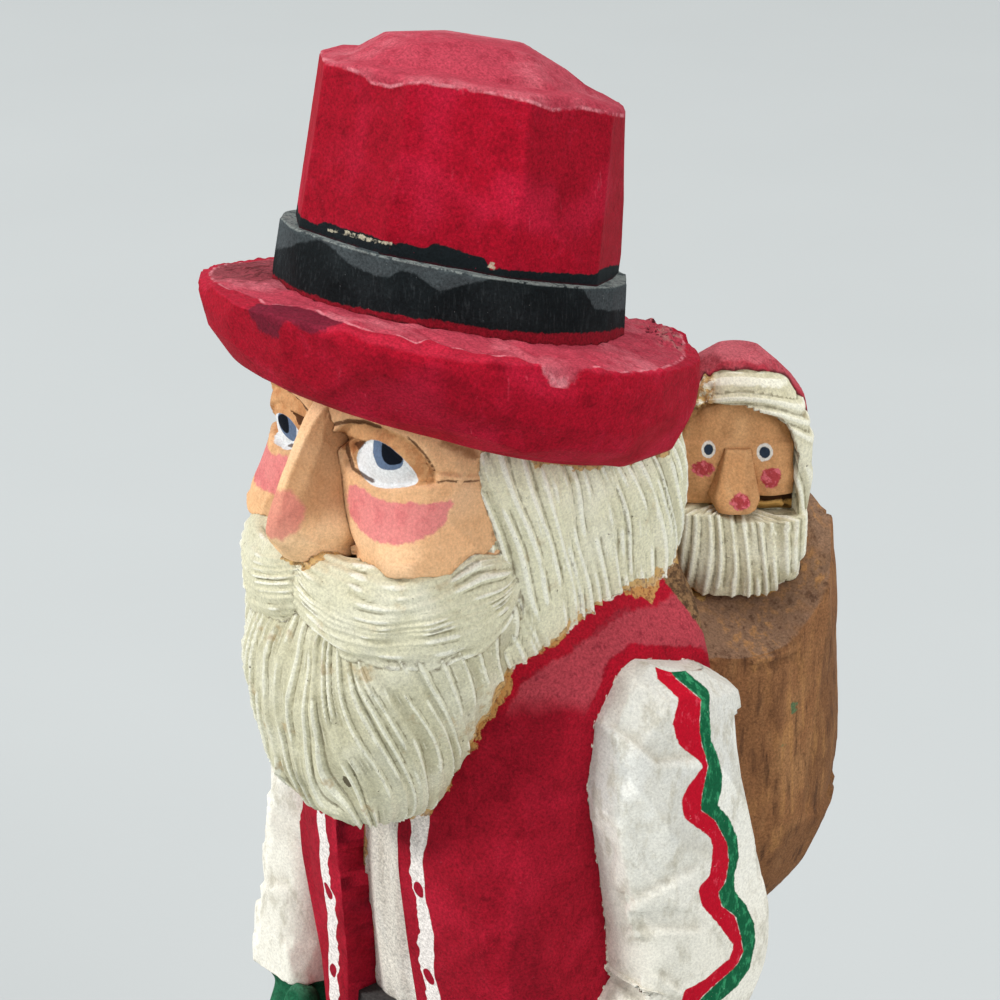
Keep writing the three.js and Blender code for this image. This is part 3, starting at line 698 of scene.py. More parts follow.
head_table = [
    (192, 0, 0, 25.5, 22, 26, 3.2), (206, 0, 0, 29, 29, 28, 4), (226, 0, 0, 30.2, 31.5, 30, 4.6),
    (240, 0, -1, 29.8, 31, 30, 4.4), (256, 0, -4, 26.5, 25, 28, 3.2),
]
hair = Block("hair", 680, 54, stacked(head_table, lambda share, y: -0.26 * y * share**3), caps=3)
hair.raise_by(0.35 * ripple(hair.points, 16, 2) + 0.3)
lean = np.abs(round_length(hair, head_table)) + 0.3 * (hair.points[:, 2] - 220)
strands(hair, lean, hair.points[:, 2], 0.36, (1.0, 3.4), (0.8, 1.4), seed=4)

# %% [markdown]
# ## Face
# The eye is a ball left standing in a hollow, and brow, lids and crow's feet are single knife cuts.
# The outlines are drawn on the board, all for the near side, and the far side uses them mirrored.
# The mesh is cut in by them first. Then each vertex keeps its distance from the same outlines for
# the paint, so that cut and colour agree. A projected image could do that too, but it would have to
# be painted first, and it smears where the surface turns away.

# %% Outlines of the face
BROW = [
    (-32.4, 255.3), (-31.0, 257.6), (-28.2, 259.9), (-25.6, 260.1), (-23.0, 259.3), (-20.2, 258.0),
    (-17.4, 256.6), (-15.2, 254.6), (-13.4, 252.4), (-11.9, 249.6), (-11.8, 247.2),
]
SOCKET = BROW + [
    (-13.2, 246.9), (-15.6, 246.9), (-18.1, 246.4), (-22.6, 246.4), (-24.8, 248.9), (-26.7, 250.8),
    (-28.0, 253.4), (-28.6, 255.3), (-31.6, 253.6),
]
WHITE = [
    (-24.6, 256.2), (-26.8, 253.6), (-26.7, 250.8), (-25.2, 248.0), (-23.2, 246.5), (-20.0, 246.2),
    (-15.6, 246.8), (-14.9, 248.4), (-16.9, 251.4), (-19.9, 254.3), (-22.1, 255.8),
]
IRIS = [
    (-23.4, 256.5), (-23.6, 253.3), (-23.0, 251.3), (-21.9, 250.0), (-19.0, 249.9), (-17.6, 251.3),
    (-18.0, 253.9), (-19.9, 256.2), (-21.8, 256.8),
]
PUPIL = [(-21.8, 256.2), (-22.0, 252.2), (-20.3, 250.7), (-17.6, 251.5), (-18.3, 253.8), (-20.2, 255.9)]
# The eye's inner corner: cut deeper, and painted dark brown as painted shade in that recess
CORNER = [
    (-31.4, 257.3), (-28.8, 257.9), (-27.9, 256.6), (-24.4, 256.2), (-24.6, 255.3), (-26.7, 253.8),
    (-26.0, 250.7), (-24.6, 248.4), (-26.2, 249.6), (-27.6, 251.9), (-28.6, 255.1), (-30.8, 254.3),
]
# A small dark spot in the inner corner: painted shade of a hole
HOLE = [
    (-27.7, 255.8), (-26.5, 256.0), (-24.3, 256.0), (-25.4, 254.6), (-26.5, 253.4), (-26.8, 254.6),
    (-27.5, 255.2),
]
FACET = [
    (-31.5, 257.9), (-28.5, 258.1), (-28.6, 256.3), (-28.4, 254.3), (-29.3, 253.8), (-30.6, 255.5),
    (-31.4, 256.7),
]
UPPER_LID = [
    (-31.9, 257.8), (-31.2, 259.2), (-29.9, 259.5), (-28.0, 259.9), (-27.0, 259.7), (-24.9, 259.6),
    (-23.5, 259.0), (-22.1, 258.5),
]
OUTER_LID = [
    (-17.1, 256.5), (-15.7, 255.3), (-14.0, 253.2), (-12.9, 251.5), (-12.2, 250.0), (-11.9, 248.3),
    (-12.0, 247.2), (-13.0, 247.2),
]
INNER_LID = [
    (-28.6, 256.0), (-28.5, 254.0), (-27.9, 252.1), (-27.4, 250.4), (-26.4, 249.6), (-25.3, 248.8),
    (-23.6, 247.8),
]
TEMPLE_CUT = [(-11.8, 247.4), (-10.1, 247.9), (-7.6, 247.6), (-3.6, 247.9), (-1.5, 247.3)]
CUTS = [(0.4, UPPER_LID), (0.22, OUTER_LID), (0.4, INNER_LID), (0.2, TEMPLE_CUT)]  # half width and line
NOSE_SIDE = [(-32.0, 255.8), (-31.6, 253.9), (-30.7, 247.8), (-29.8, 239.7), (-28.6, 237.1), (-26.6, 233.0)]
BLUSH = [
    (-28.9, 246.8), (-26.5, 247.4), (-23.5, 244.8), (-20.0, 243.4), (-16.9, 243.8), (-13.8, 243.1),
    (-9.5, 244.2), (-8.2, 243.4), (-9.5, 241.5), (-9.8, 239.1), (-13.7, 236.2), (-19.0, 234.5),
    (-23.1, 235.5), (-26.8, 238.0), (-28.6, 241.4),
]
CHEEK = [
    (-40, 233.4), (-30, 236.2), (-28.9, 236.1), (-26.8, 233.0), (-25.1, 231.0), (-19.9, 228.9),
    (-12.2, 228.9), (-8.3, 229.8), (-4.9, 231.7), (-1.8, 234.7), (-0.5, 237.1),
]
CROW = [(-11.8, 248.6), (-10.1, 249.1), (-7.6, 248.8), (-3.6, 249.1), (-1.5, 248.5)]
# The painted shade on the temple, beside the hair
TEMPLE = [(-10.3, 256.8), (-7.6, 255.7), (-3.6, 254.7), (-3.3, 250.1), (-7.6, 253.2), (-12.5, 255.3)]
print(f"eye socket: {len(SOCKET)} corners, with {len(CUTS)} knife lines round it")

# %% Face
face_table = [
    (214.5, 0, -20, 21, 20, 10, 3), (219, 0, -20, 25.5, 24.5, 10, 3.6), (227, 0, -20, 27.5, 26, 10, 4),
    (235, 0, -20, 27, 26, 10, 3.8), (243, 0, -20, 26, 25.3, 10, 3.6), (252, 0, -20, 26, 25.6, 10, 3.4),
    (268, 0, -20, 23, 23, 10, 2.8),
]
face = Block("face", 340, 150, stacked(face_table), caps=4, crowd=0.45)
away, level = np.abs(face.turn), face.points[:, 2] - BASE
swell = 2.8 * np.exp(-(((away - 0.76) / 0.3) ** 2)) * np.exp(-(((level - 227) / 8) ** 2))
crease = np.interp(level, [222, 226, 230, 235, 250], [-3.2, -2.8, -1.5, -0.8, -0.2])
face.raise_by(swell + crease * np.exp(-(((away - 0.2) / 0.13) ** 2)))
knife(face, 6.5, tilt=5, depth=0.4, sink=0.15, seed=6)
front = step(-face.normals[:, 1], 0.0, 0.2)


def on_face(depth):
    """The board's coordinates of each vertex once it has been cut in by depth."""
    return on_board(face.points - depth * face.normals, mirror=True)


spots = on_face(1.2)
socket = inside(spots, SOCKET)
dome = np.clip(1 - ((spots[:, 0] + 20.5) / 9) ** 2 - ((spots[:, 1] - 251.8) / 6.5) ** 2, 0, 1)
corner = step(inside(on_face(2.5), CORNER), -0.2, 0.6)
lids = step(inside(on_face(1.4), WHITE), 0, 0.3)
sunk = step(socket, 0, 0.5) * (-1.9 + 2.1 * dome) - 1.2 * corner - 0.8 * lids
for half_width, line in CUTS:
    sunk -= 1.4 * half_width * np.exp(-((to_line(spots, line)[0] / (half_width + 0.25)) ** 2))
gap, side, _ = to_line(on_face(0.3), CROW)
ledge = -0.9 * np.exp(-gap / 1.6) * (side > 0)
under = np.interp(spots[:, 0], *np.transpose(CHEEK)) - spots[:, 1]
tucked = -2.4 * step(under, -0.1, 0.7) * (spots[:, 0] > -29)
groove = -0.8 * np.exp(-to_line(on_face(0.3), NOSE_SIDE)[0] / 0.45)
face.raise_by(front * (sunk + ledge + tucked + groove))
marks = on_face(0)
far = face.points[:, 0] < 0  # its right eye is smaller and lower, and looks to its left as well
middle = np.array([-21.0, 251.5])
eye = np.where(far[:, None], middle + 1.3 * (marks - middle) + (1.5, 1.6), marks)
glance = far[:, None] * np.array([2.0, 0.0])
look = eye + glance
for name, shape, spots in (
    ("socket", SOCKET, marks), ("white", WHITE, eye), ("iris", IRIS, look), ("pupil", PUPIL, look),
    ("corner", CORNER, marks), ("hole", HOLE, marks), ("facet", FACET, marks), ("blush", BLUSH, marks),
    ("temple", TEMPLE, marks),
):
    face.mark(name, np.where(front > 0, inside(spots, rounded(shape)), OUTSIDE))
# line: how near the knife lines round the eye are, which the paint darkens as painted shade in the cuts
nearest_cut = np.max([half_width - to_line(marks, line)[0] for half_width, line in CUTS], axis=0)
face.mark("line", np.where(front > 0, nearest_cut, OUTSIDE))

# %% [markdown]
# ## Nose, moustache and beard
# The nose is one long wedge with two flat sides, and narrower in front. Each half of the moustache is
# a hank that follows a bent path, with strokes along it. The strokes of the beard fan out from the
# chin, so the gouge runs on a coordinate that spreads with the height.

# %% Nose
nose_table = [
    (224.5, 0, -45.5, 6, 8, 6, 2.8), (229.5, 0, -44.5, 7.4, 12.8, 8, 2.6),
    (233.6, 0, -43.5, 6.4, 13.8, 8, 2.8), (239.5, 0, -42.5, 5.2, 12.3, 8, 3),
    (246.3, 0, -42.5, 3.8, 8.2, 8, 3.2), (251, 0, -42, 3.4, 5.5, 8, 3.2), (255, 0, -41, 3, 3, 8, 3),
]
nose = Block("nose", 140, 90, stacked(nose_table), caps=8)
points = nose.points
points[:, 0] *= 0.62 + 0.44 * step(points[:, 1], -56, -44)  # narrower in front: a ridge with two sides
nose.set(points)
knife(nose, 7, tilt=4, depth=0.35, sink=0.15, stretch=(1, 1, 2), seed=12)
TIP = [
    (-39.1, 246.1), (-36.2, 242.5), (-36.7, 239.4), (-38.1, 237.3), (-40.7, 235.8), (-45, 236),
    (-45, 242.5), (-42, 246),
]
nose.mark("blush", inside(on_board(nose.points, True), TIP))
nose.mark("flank", step(np.abs(nose.normals[:, 0]), 0.45, 0.8) * step(nose.points[:, 2], 241, 246))

# %% Moustache and beard
for side, name in ((-1, "moustache_right"), (1, "moustache_left")):
    table = [
        (-side * 3.5, -46.5, 219.8, 7, 5.5), (side * 7, -48.5, 217.2, 9.2, 5.6),
        (side * 16.5, -45.5, 215.3, 11.2, 5.6), (side * 23.5, -37.5, 216, 11.2, 5.2),
        (side * 26.5, -28, 218, 9.5, 4.2), (side * 26, -21, 220, 6, 2.5),
    ]
    hank = Block(name, 180, 90, swept(table, (0, 0, 1), 2.3), caps=3, facing=0)
    hank.raise_by(0.4 * ripple(hank.points, 9, 5))
    calm = 0.35 + 0.65 * step(ripple(hank.points, 8, 12), -0.3, 0.5)
    round_it = hank.turn * 8 + 0.8 * np.sin(hank.share * 9)
    strands(hank, round_it, hank.share * 65, 0.28, (1.3, 3.4), (0.6, 1.1), seed=21 + side, where=calm)

beard_table = [
    (168.5, 0, -37, 11.5, 9, 6, 2.7), (171.3, 0, -36, 16.5, 14.2, 12, 2.5),
    (181, 0, -34, 21, 19.5, 18, 2.4), (197, 0, -31, 26, 25, 25, 2.3),
    (212, 0, -27, 28.5, 24.5, 25, 2.4), (221, 0, -24, 27, 18, 20, 2.5),
]
beard = Block("beard", 400, 150, stacked(beard_table), caps=4, crowd=0.35)
beard.raise_by(0.5 * ripple(beard.points, 15, 6) + 0.3)
spread = 0.75 * np.sign(beard.turn) * step(np.abs(beard.turn), 0.12, 0.75)
fan = beard.turn * 30 + spread * (beard.points[:, 2] - 200)
strands(beard, fan, beard.points[:, 2], 0.6, (2.0, 5.2), (0.9, 2.0), seed=14)
NICKS = [
    (23.1, -45.9, 208.2, 0.7), (12.2, -50.5, 191.3, 1.1), (12.8, -47.9, 186.8, 0.8),
    (12.3, -51.1, 194.8, 0.5), (20.9, -41.9, 199.1, 0.5), (-14, -47, 196, 0.8), (-5, -52, 205, 0.5),
]


def near_spots(points, spots, stretch=(1, 1, 1)):
    """How far inside the nearest of a few round spots, each x, y, z and radius, every point is."""
    gaps = [r - np.linalg.norm((points - (x, y, z)) * stretch, axis=1) for x, y, z, r in spots]
    return np.max(gaps, axis=0)


beard.mark("nick", near_spots(beard.points, NICKS, (1, 1, 0.7)))

# %% [markdown]
# ## Waistcoat, shirt and belt
# On the real figure the shirt is a lower level of the same wood, left between the two fronts of the
# waistcoat. A boolean cut could open the waistcoat, but it would spoil the even mesh that the marks
# need. So the vertices inside the opening are pressed back, those at its edge line up along it, and
# the shirt is a narrow form of its own in the gap.

# %% Waistcoat
torso_table = [
    (98, 0, 6, 38, 36.5, 25, 3.2), (120, 0, 5, 38, 36.8, 26, 3.4), (141, 0, 4, 38, 38, 28, 3.5),
    (160, 0, 3, 38.2, 38.3, 30, 3.4), (176, 0, 4, 38.5, 35.5, 30, 3.2), (189, 0, 6, 39.5, 33, 28, 3),
    (200, 0, 8, 36.5, 31, 24, 3), (207, 0, 10, 32, 26, 20, 2.9), (212, 0, 14, 28, 16, 16, 2.8),
]
OPENING = -1.8  # the opening was cut a little off the middle
OPENING_FOOT, OPENING_TOP = 94, 182  # mm above the soles
waistcoat = Block("waistcoat", 360, 100, stacked(torso_table), caps=8, crowd=0.4)
knife(waistcoat, 11, tilt=5, depth=0.7, sink=0.3, stretch=(1, 1, 1.8), seed=31)


def up_opening(z):
    """How far up the opening a height above the soles is, from 0 to 1."""
    return np.clip((z - OPENING_FOOT) / (OPENING_TOP - OPENING_FOOT), 0, 1)


def opening_half(z):
    """Half the width of the waistcoat's opening at a height above the soles."""
    return 9.75 + 5 * (1 - up_opening(z)) ** 3


def shirt_face(z):
    """How far forward the shirt stands at a height above the soles."""
    return -21.5 - 7 * np.sin(np.pi * up_opening(z) * 0.75)


points = waistcoat.points
half = opening_half(points[:, 2] - BASE)
off = np.abs(points[:, 0] - OPENING) - half
cuttable = (points[:, 1] < -10) & (points[:, 2] < OPENING_TOP + BASE)
sign = np.sign(points[:, 0] - OPENING)
inner = cuttable & (off < 0)
points[:, 0] = np.where(cuttable & (off >= 0) & (off < 0.8), OPENING + sign * half, points[:, 0])
points[:, 0] = np.where(inner & (off > -0.8), OPENING + sign * (half - 0.1), points[:, 0])
points[:, 1] = np.where(inner, shirt_face(points[:, 2] - BASE) + 3, points[:, 1])
waistcoat.set(points)
low_front = (points[:, 1] < -5) & (points[:, 2] < OPENING_TOP + BASE)
waistcoat.mark("fronts", np.where(low_front, off, -OUTSIDE))
waistcoat.mark("outer", np.abs(points[:, 0]))
back_line = [(31.1, 228.6), (37.9, 219.3), (45.6, 208.2), (52, 196)]
gap, side, _ = to_line(on_board(points, True), back_line)
waistcoat.mark("back", np.where(points[:, 1] > 8, gap * side, OUTSIDE))

heights = np.linspace(OPENING_FOOT, OPENING_TOP, 9)
shirt_table = [(z, OPENING, shirt_face(z) + 8, opening_half(z) + 1.5, 8, 3, 4) for z in heights]
shirt = Block("shirt_front", 120, 110, stacked(shirt_table), caps=2, crowd=0.6)
knife(shirt, 5, tilt=6, depth=0.5, stretch=(1, 1, 3), seed=35)
shirt.raise_by(0.6 * ripple(shirt.points * (1, 1, 0.12), 7, 8) * (shirt.normals[:, 1] < 0))

belt_table = [
    (103, 0, 8, 32, 38, 20, 2.5), (108.5, 0, 8, 32, 37.8, 20, 2.5), (114, 0, 8, 32, 37.5, 20, 2.5),
]
Block("belt", 160, 16, stacked(belt_table), caps=3)

# %% [markdown]
# ## Sleeves
# A sleeve is a bent tube with slack folds at the elbow. A cloth simulation would give far softer
# folds than a knife does. Here folds are lines on the board, each with a low ridge and a hollow below
# it that fade towards its ends, and a painted shadow in that hollow. The braid is two waves, a red one
# and a green one, that share an edge.

# %% Sleeves
left_table = [
    (38.5, 9.5, 197, 6.5, 8), (38.8, 8.2, 190.5, 11, 15.4), (40, 6.9, 175, 12.5, 17.6),
    (41, 9.3, 157, 13, 17.7), (41.5, 12.5, 141, 13.5, 18.8), (40.5, 11, 125, 13, 17.8),
    (38, -1.2, 113, 11.5, 15.2), (34.5, -13.5, 104, 9.5, 12),
]
right_table = [
    (-37.5, 9, 197.5, 6, 7), (-37, 7, 190, 9.5, 13.5), (-39, 1, 174, 11.5, 15.5),
    (-42, -7, 154, 12.5, 17), (-42.5, -12, 134, 11.5, 15), (-44, -15, 118, 11, 13),
    (-44.5, -16, 103.5, 10.5, 12),
]
sleeve_left = Block("sleeve_left", 200, 140, swept(left_table, (1, 0, 0), 2.4), caps=5)
sleeve_right = Block("sleeve_right", 140, 100, swept(right_table, (-1, 0, 0), 2.4), caps=5)
for sleeve, seed in ((sleeve_left, 41), (sleeve_right, 43)):
    knife(sleeve, 8, tilt=6, depth=0.8, sink=0.3, stretch=(1, 1, 1.6), seed=seed)

# %% Sleeve folds and braid
RED_EDGE = [
    (30.1, 209.1), (30.4, 206.8), (34.6, 202.6), (34.0, 200.5), (33.3, 197.3), (34.6, 192.9),
    (39.8, 188.3), (36.4, 183.8), (35.2, 180.8), (36.0, 177.0), (41.3, 172.6), (42.0, 169.9),
    (41.5, 164.3), (39.1, 161.2), (39.9, 157.5), (43.2, 153.3), (47.0, 147.5), (46.1, 144.5),
    (41.1, 140.5), (37.1, 138.3), (36.4, 136), (35.2, 133), (36.4, 129.5), (35.4, 126),
]
MIDDLE = [
    (32.1, 209.8), (33.7, 207.1), (39.0, 202.3), (38.7, 196.0), (39.2, 192.9), (40.6, 188.1),
    (39.6, 183.0), (39.1, 178.8), (42.3, 176.0), (44.9, 170.8), (45.4, 166.6), (44.8, 162.3),
    (43.3, 160.0), (44.1, 156.9), (47.1, 154.2), (48.3, 149.8), (49.1, 145.7), (48.0, 143.1),
    (43.2, 138.8), (40.4, 136), (38.6, 133), (39.6, 129.5), (38.2, 126),
]
GREEN_EDGE = [
    (34.6, 210.3), (36.6, 207.7), (40.8, 203.9), (40.9, 198.3), (41.2, 193.3), (42.8, 189.6),
    (43.7, 185.2), (43.4, 182.1), (42.7, 179.4), (45.3, 176.2), (47.2, 171.7), (47.6, 167.4),
    (46.6, 163.2), (46.9, 159.8), (49.4, 156.2), (51.3, 152.0), (51.7, 147.5), (50.7, 141.6),
    (48.0, 137.6), (44, 134.6), (42, 132.2), (42.6, 129.5), (40.8, 126),
]
FOLDS = [
    [(18.7, 197.7), (25.1, 193.4), (30.3, 188.5), (33.6, 189.1), (39.5, 189.0)],
    [(22.9, 156.1), (32.2, 161.8), (40.4, 166.0)], [(22.8, 151.1), (32.4, 151.8), (41.8, 151.4)],
    [(29.7, 143.0), (37.2, 136.6)], [(20.5, 186.6), (25.2, 182.6), (28.0, 183.6)],
    [(24, 176.0), (27.5, 165.9), (33, 159.1)], [(21, 140.2), (28, 133.9), (36, 125.3)],
    [(30, 120.3), (38, 124.9), (44, 123.2)],
]
for sleeve, table in ((sleeve_left, left_table), (sleeve_right, right_table)):
    height = sleeve.points[:, 2] - BASE
    y_left, y_own = (np.interp(-height, -np.array(t)[:, 2], np.array(t)[:, 1]) for t in (left_table, table))
    shift = (y_left - y_own)[:, None] * (BOARD[1], np.tan(ELEVATION) * BOARD[0])
    spots = on_board(sleeve.points, True) + shift
    outer = step(sleeve.normals[:, 0] * np.sign(table[0][0]) - 0.6 * sleeve.normals[:, 1], 0.05, 0.35)
    shade = 0
    for line, cut in zip(FOLDS, (1, 0.9, 0.7, 0.8, 0.6, 0.4, 0.8, 0.7)):
        gap, side, along = to_line(spots, line)
        inner = outer * step(along, 0, 3) * step(along.max() - along, 0, 3)
        below = step(gap * side, -0.3, 1.0)
        sleeve.raise_by(cut * inner * (0.5 * np.exp(-gap / 1.1) - 1.7 * np.exp(-gap / 3.2) * below))
        shade = np.maximum(shade, cut * inner * np.exp(-gap / 2.6) * below)
    spots = on_board(sleeve.points, True) + shift
    # The painted shadow below each of the folds, for the sleeve's paint
    sleeve.mark("fold", shade)
    print(f"{sleeve.name}: {len(FOLDS)} folds, {(shade > 0.5).mean():.0%} of it in their shade")
    sleeve.mark("red braid", np.where(outer > 0, inside(spots, RED_EDGE + MIDDLE[::-1]), OUTSIDE))
    sleeve.mark("green braid", np.where(outer > 0, inside(spots, MIDDLE + GREEN_EDGE[::-1]), OUTSIDE))

# %% [markdown]
# ## Mittens
# The hands are closed fists in green, plain and blunt: a swept form from the cuff to the knuckles,
# and an egg for the thumb.

# %% Mittens
for side, name, wrist, tip, thumb in (
    (1, "left", (35, -7, 102), (30, -25, 89), (24, -20, 97)),
    (-1, "right", (-44, -16, 106), (-41, -19, 84), (-35.5, -26, 97)),
):
    wrist, tip = np.array(wrist, float), np.array(tip, float)
    sizes = [
        (0, 8.6, 9.8), (0.16, 8.8, 10), (0.3, 7.6, 8.8), (0.6, 8.8, 10.4), (0.88, 7.6, 8.8),
        (1, 4.5, 5.5),
    ]
    table = [(*(wrist + (tip - wrist) * f), wide, deep) for f, wide, deep in sizes]
    fist = Block(f"mitten_{name}", 80, 48, swept(table, (1, 0, 0), 2.3), caps=6)
    thumb = Block(f"thumb_{name}", 48, 30, egg(*thumb, 4.2, 4.6, 8, -0.4 * side), caps=1)
    for part in (fist, thumb):
        knife(part, 5, tilt=5, depth=0.4, seed=51)

# %% [markdown]
# ## Sack
# The sack is a thick log of the block, rounded at its foot. Its rim rises behind the doll and drops
# at the figure's left. A narrow post of bare wood joins the doll to the back of the head.

# %% Sack
sack_table = [
    (114, 1, 44, 15, 14, 12, 2.4), (122, 1, 47, 25, 20, 19, 2.6), (138, 1, 50, 33.5, 25, 24.5, 2.9),
    (158, 1, 51, 35.5, 26, 26, 3), (176, 1, 50, 35, 26, 26, 3), (192, 1, 49.5, 35, 26, 27, 3),
    (196.5, 1, 49, 33, 23.5, 24.5, 2.8), (197, 1, 49, 18, 14, 13, 2.4),
]


def rim_rise(share, y):
    """The rim of the sack rises towards its back."""
    return 14 * np.minimum(1, 1.2 * share) ** 6 * step(y, -3, 20)


sack = Block("sack", 280, 96, stacked(sack_table, rim_rise), caps=10)
sack.raise_by(0.8 * sack.share * np.cos(7 * sack.angle))
points = sack.points
points[:, 2] -= 8 * step(points[:, 0], 12, 36) * step(points[:, 2], 186, 206)
sack.set(points)
knife(sack, 10, tilt=4, stretch=(1, 1, 1.8), seed=61)

specks = [(36.6, 49.5, 183, 1.5), (36.3, 45.9, 175.1, 1.2), (36, 43.5, 170, 0.6), (-30, 60, 150, 1.3)]
sack.mark("green", near_spots(sack.points, specks))

web_table = [
    (190, 0, 33, 16, 8, 12, 2.4), (205, -2, 34, 10, 8, 11, 2.4), (224, -3, 34, 8, 8, 11, 2.4),
    (242, -2, 35, 8, 8, 11, 2.4),
]
web = Block("bare_wood", 80, 48, stacked(web_table), caps=4)
knife(web, 5, tilt=8, seed=63)

# %% [markdown]
# ## Doll
# The doll looks out of the sack, turned to the figure's left. Its flat face lies in a hollow that is
# cut out of its hair, and below the cheeks a slot was cut down to the bare wood. All its forms are
# stacked rings in its own frame, which the last values of stacked turn and move into place.

# %% Doll
W = 15.8  # half of its width
doll_turn, doll_at = np.radians(48), (15.4, 51.4, 222)
doll_hair_table = [
    (-25, 0, 0, W - 2, 8, 9, 3), (-12, 0, 0, W - 0.5, 9, 12, 4), (2, 0, 0, W, 9, 12, 4),
    (10, 0, 0, W - 1.2, 9, 12, 3), (14.5, 0, 0.5, W - 3.6, 8.8, 10, 2.7),
    (18.5, 0, 1, W - 6.8, 8, 9, 2.5), (21.8, 0, 2, W - 11.5, 4.5, 4, 2.2),
]
doll_face_table = [
    (-9.5, -0.6, -2, W - 3.4, 5, 8, 6), (4, -0.6, -2, W - 3.6, 4.6, 8, 6),
    (9, -0.8, -2, W - 5.0, 4.4, 8, 4), (12.5, -1, -2, W - 8, 4.2, 8, 3),
    (14.2, -1.4, -2, W - 11, 4, 8, 3),
]
doll_beard_table = [
    (-26, 0, -2, W - 6, 9.5, 6, 3), (-19, 0.4, -2, W - 2, 11, 8, 4), (-9.5, 0, -2, W - 1.4, 10, 8, 5),
]
doll_nose_table = [
    (-7.6, 0, -6, 4.4, 6.2, 3, 3), (-4.2, -0.4, -6, 5.2, 5.8, 3, 2.6), (5, 0, -6, 2.8, 1.4, 3, 3),
]
doll_cap_table = [
    (7, 0, 5, W - 0.6, 6.5, 8.4, 3), (13, 0, 4.4, W - 1.9, 8, 8.2, 2.4),
    (17.5, 0, 4, W - 4.8, 8.5, 8, 2.2), (21.5, 0, 3.4, W - 8.6, 6.8, 6.5, 2.1),
    (23.4, 0, 3, W - 12, 4, 4, 2),
]


def doll_part(name, around, rows, table, caps):
    """A form of stacked rings, turned and moved to the doll's place."""
    return Block(name, around, rows, stacked(table, None, doll_turn, doll_at), caps=caps)


doll_hair = doll_part("doll_hair", 260, 76, doll_hair_table, 6)
doll_face = doll_part("doll_face", 120, 80, doll_face_table, 6)
doll_beard = doll_part("doll_beard", 200, 50, doll_beard_table, 5)
doll_nose = doll_part("doll_nose", 60, 40, doll_nose_table, 5)
doll_cap = doll_part("doll_cap", 140, 48, doll_cap_table, 8)


def doll_frame(block):
    """Points in the doll's own frame: to its left, forward as less than 0, and up from its middle."""
    p = block.points - np.array(doll_at) - (0, 0, BASE)
    c, s = np.cos(doll_turn), np.sin(doll_turn)
    return np.stack([c * p[:, 0] + s * p[:, 1], c * p[:, 1] - s * p[:, 0], p[:, 2]], 1)


x, y, z = doll_frame(doll_hair).T
half = np.interp(z, [row[0] for row in doll_face_table], [row[3] for row in doll_face_table])
recess = (y < 0) & (z > -11) & (z < 14.6 - 0.5 * (np.abs(x + 1.8) / 4) ** 2) & (x < half)
ahead = np.array([np.sin(doll_turn), -np.cos(doll_turn), 0.0])
hollow = np.where(recess, np.clip(-3.5 - y, 0, 9), 0)
doll_hair.set(doll_hair.points - hollow[:, None] * ahead)
round_face = np.where(y < 3, np.hypot(0.9 * x, np.maximum(z + 6, 0)), x)
strands(doll_hair, round_face, z, 0.22, (1.8, 3.2), (0.8, 1.5), seed=71)
x, y, z = doll_frame(doll_hair).T
rough = step(-x, 3, 7) * step(z, 6, 10) * (y < 0)
doll_hair.raise_by(rough * (0.6 * ripple(doll_hair.points, 2.2, 3) - 0.5))
doll_hair.mark("rough", rough)
x, y, z = doll_frame(doll_beard).T
points = doll_beard.points
points[:, 2] += 1.6 * step(-x, 0, 5) * step(z, -14, -10)
doll_beard.set(points)
x, y, z = doll_frame(doll_beard).T
in_front = step(-y, -2, 0)
strands(doll_beard, x, z, 0.3, (1.8, 3.4), (0.9, 1.7), seed=73, where=in_front)
knife(doll_cap, 4.5, tilt=4, depth=0.3, seed=75)
knife(doll_nose, 4, tilt=4, depth=0.3, seed=77)
x, y, z = doll_frame(doll_face).T
front = y < -4
cheeks = np.exp(-(((np.abs(x) - 7) / 3.2) ** 2) - ((z + 2) / 3.6) ** 2)
forehead = -0.7 * step(z, 5.5, 6.6)
gap_under = step(-z, 5.5 + 1.6 * step(-x, 0, 5), 6.2 + 1.6 * step(-x, 0, 5))
uneven = 0.15 * ripple(doll_face.points, 5, 8)
doll_face.raise_by(front * (0.9 * cheeks + forehead - 2.2 * gap_under + uneven))
doll_face.mark("bare", np.where(y < -1, -z - 5.7 - 1.8 * step(-x, 0, 5), OUTSIDE))
EYES = (-5.9, 4.5, 1.5, 1.85), (5.6, 3.9, 1.75, 2.0)
SPOTS = (-7, 0.6, 2.6, 1.75), (7.0, -1.4, 2.3, 2.4)


def round_marks(spots, x, z):
    """How far inside a few round spots, each with its middle, half width and half height, a vertex is."""
    return np.max([b * (1 - np.hypot((x - px) / a, (z - pz) / b)) for px, pz, a, b in spots], axis=0)


doll_face.mark("eye", round_marks(EYES, x, z))
doll_face.mark("pupil", round_marks([(a, b, 0.66 * c, 0.66 * d) for a, b, c, d in EYES], x, z))
doll_face.mark("blush", round_marks(SPOTS, x, z))
x, _, z = doll_frame(doll_nose).T
doll_nose.mark("blush", round_marks([(0.6, -4.9, 2.3, 1.7)], x, z))

# %% [markdown]
# ## Legs, boots and base
# These are plainer than the rest: straight legs in two swept forms each, boots of a shaft and a foot,
# and a low slab with a worn edge that the figure stands on.

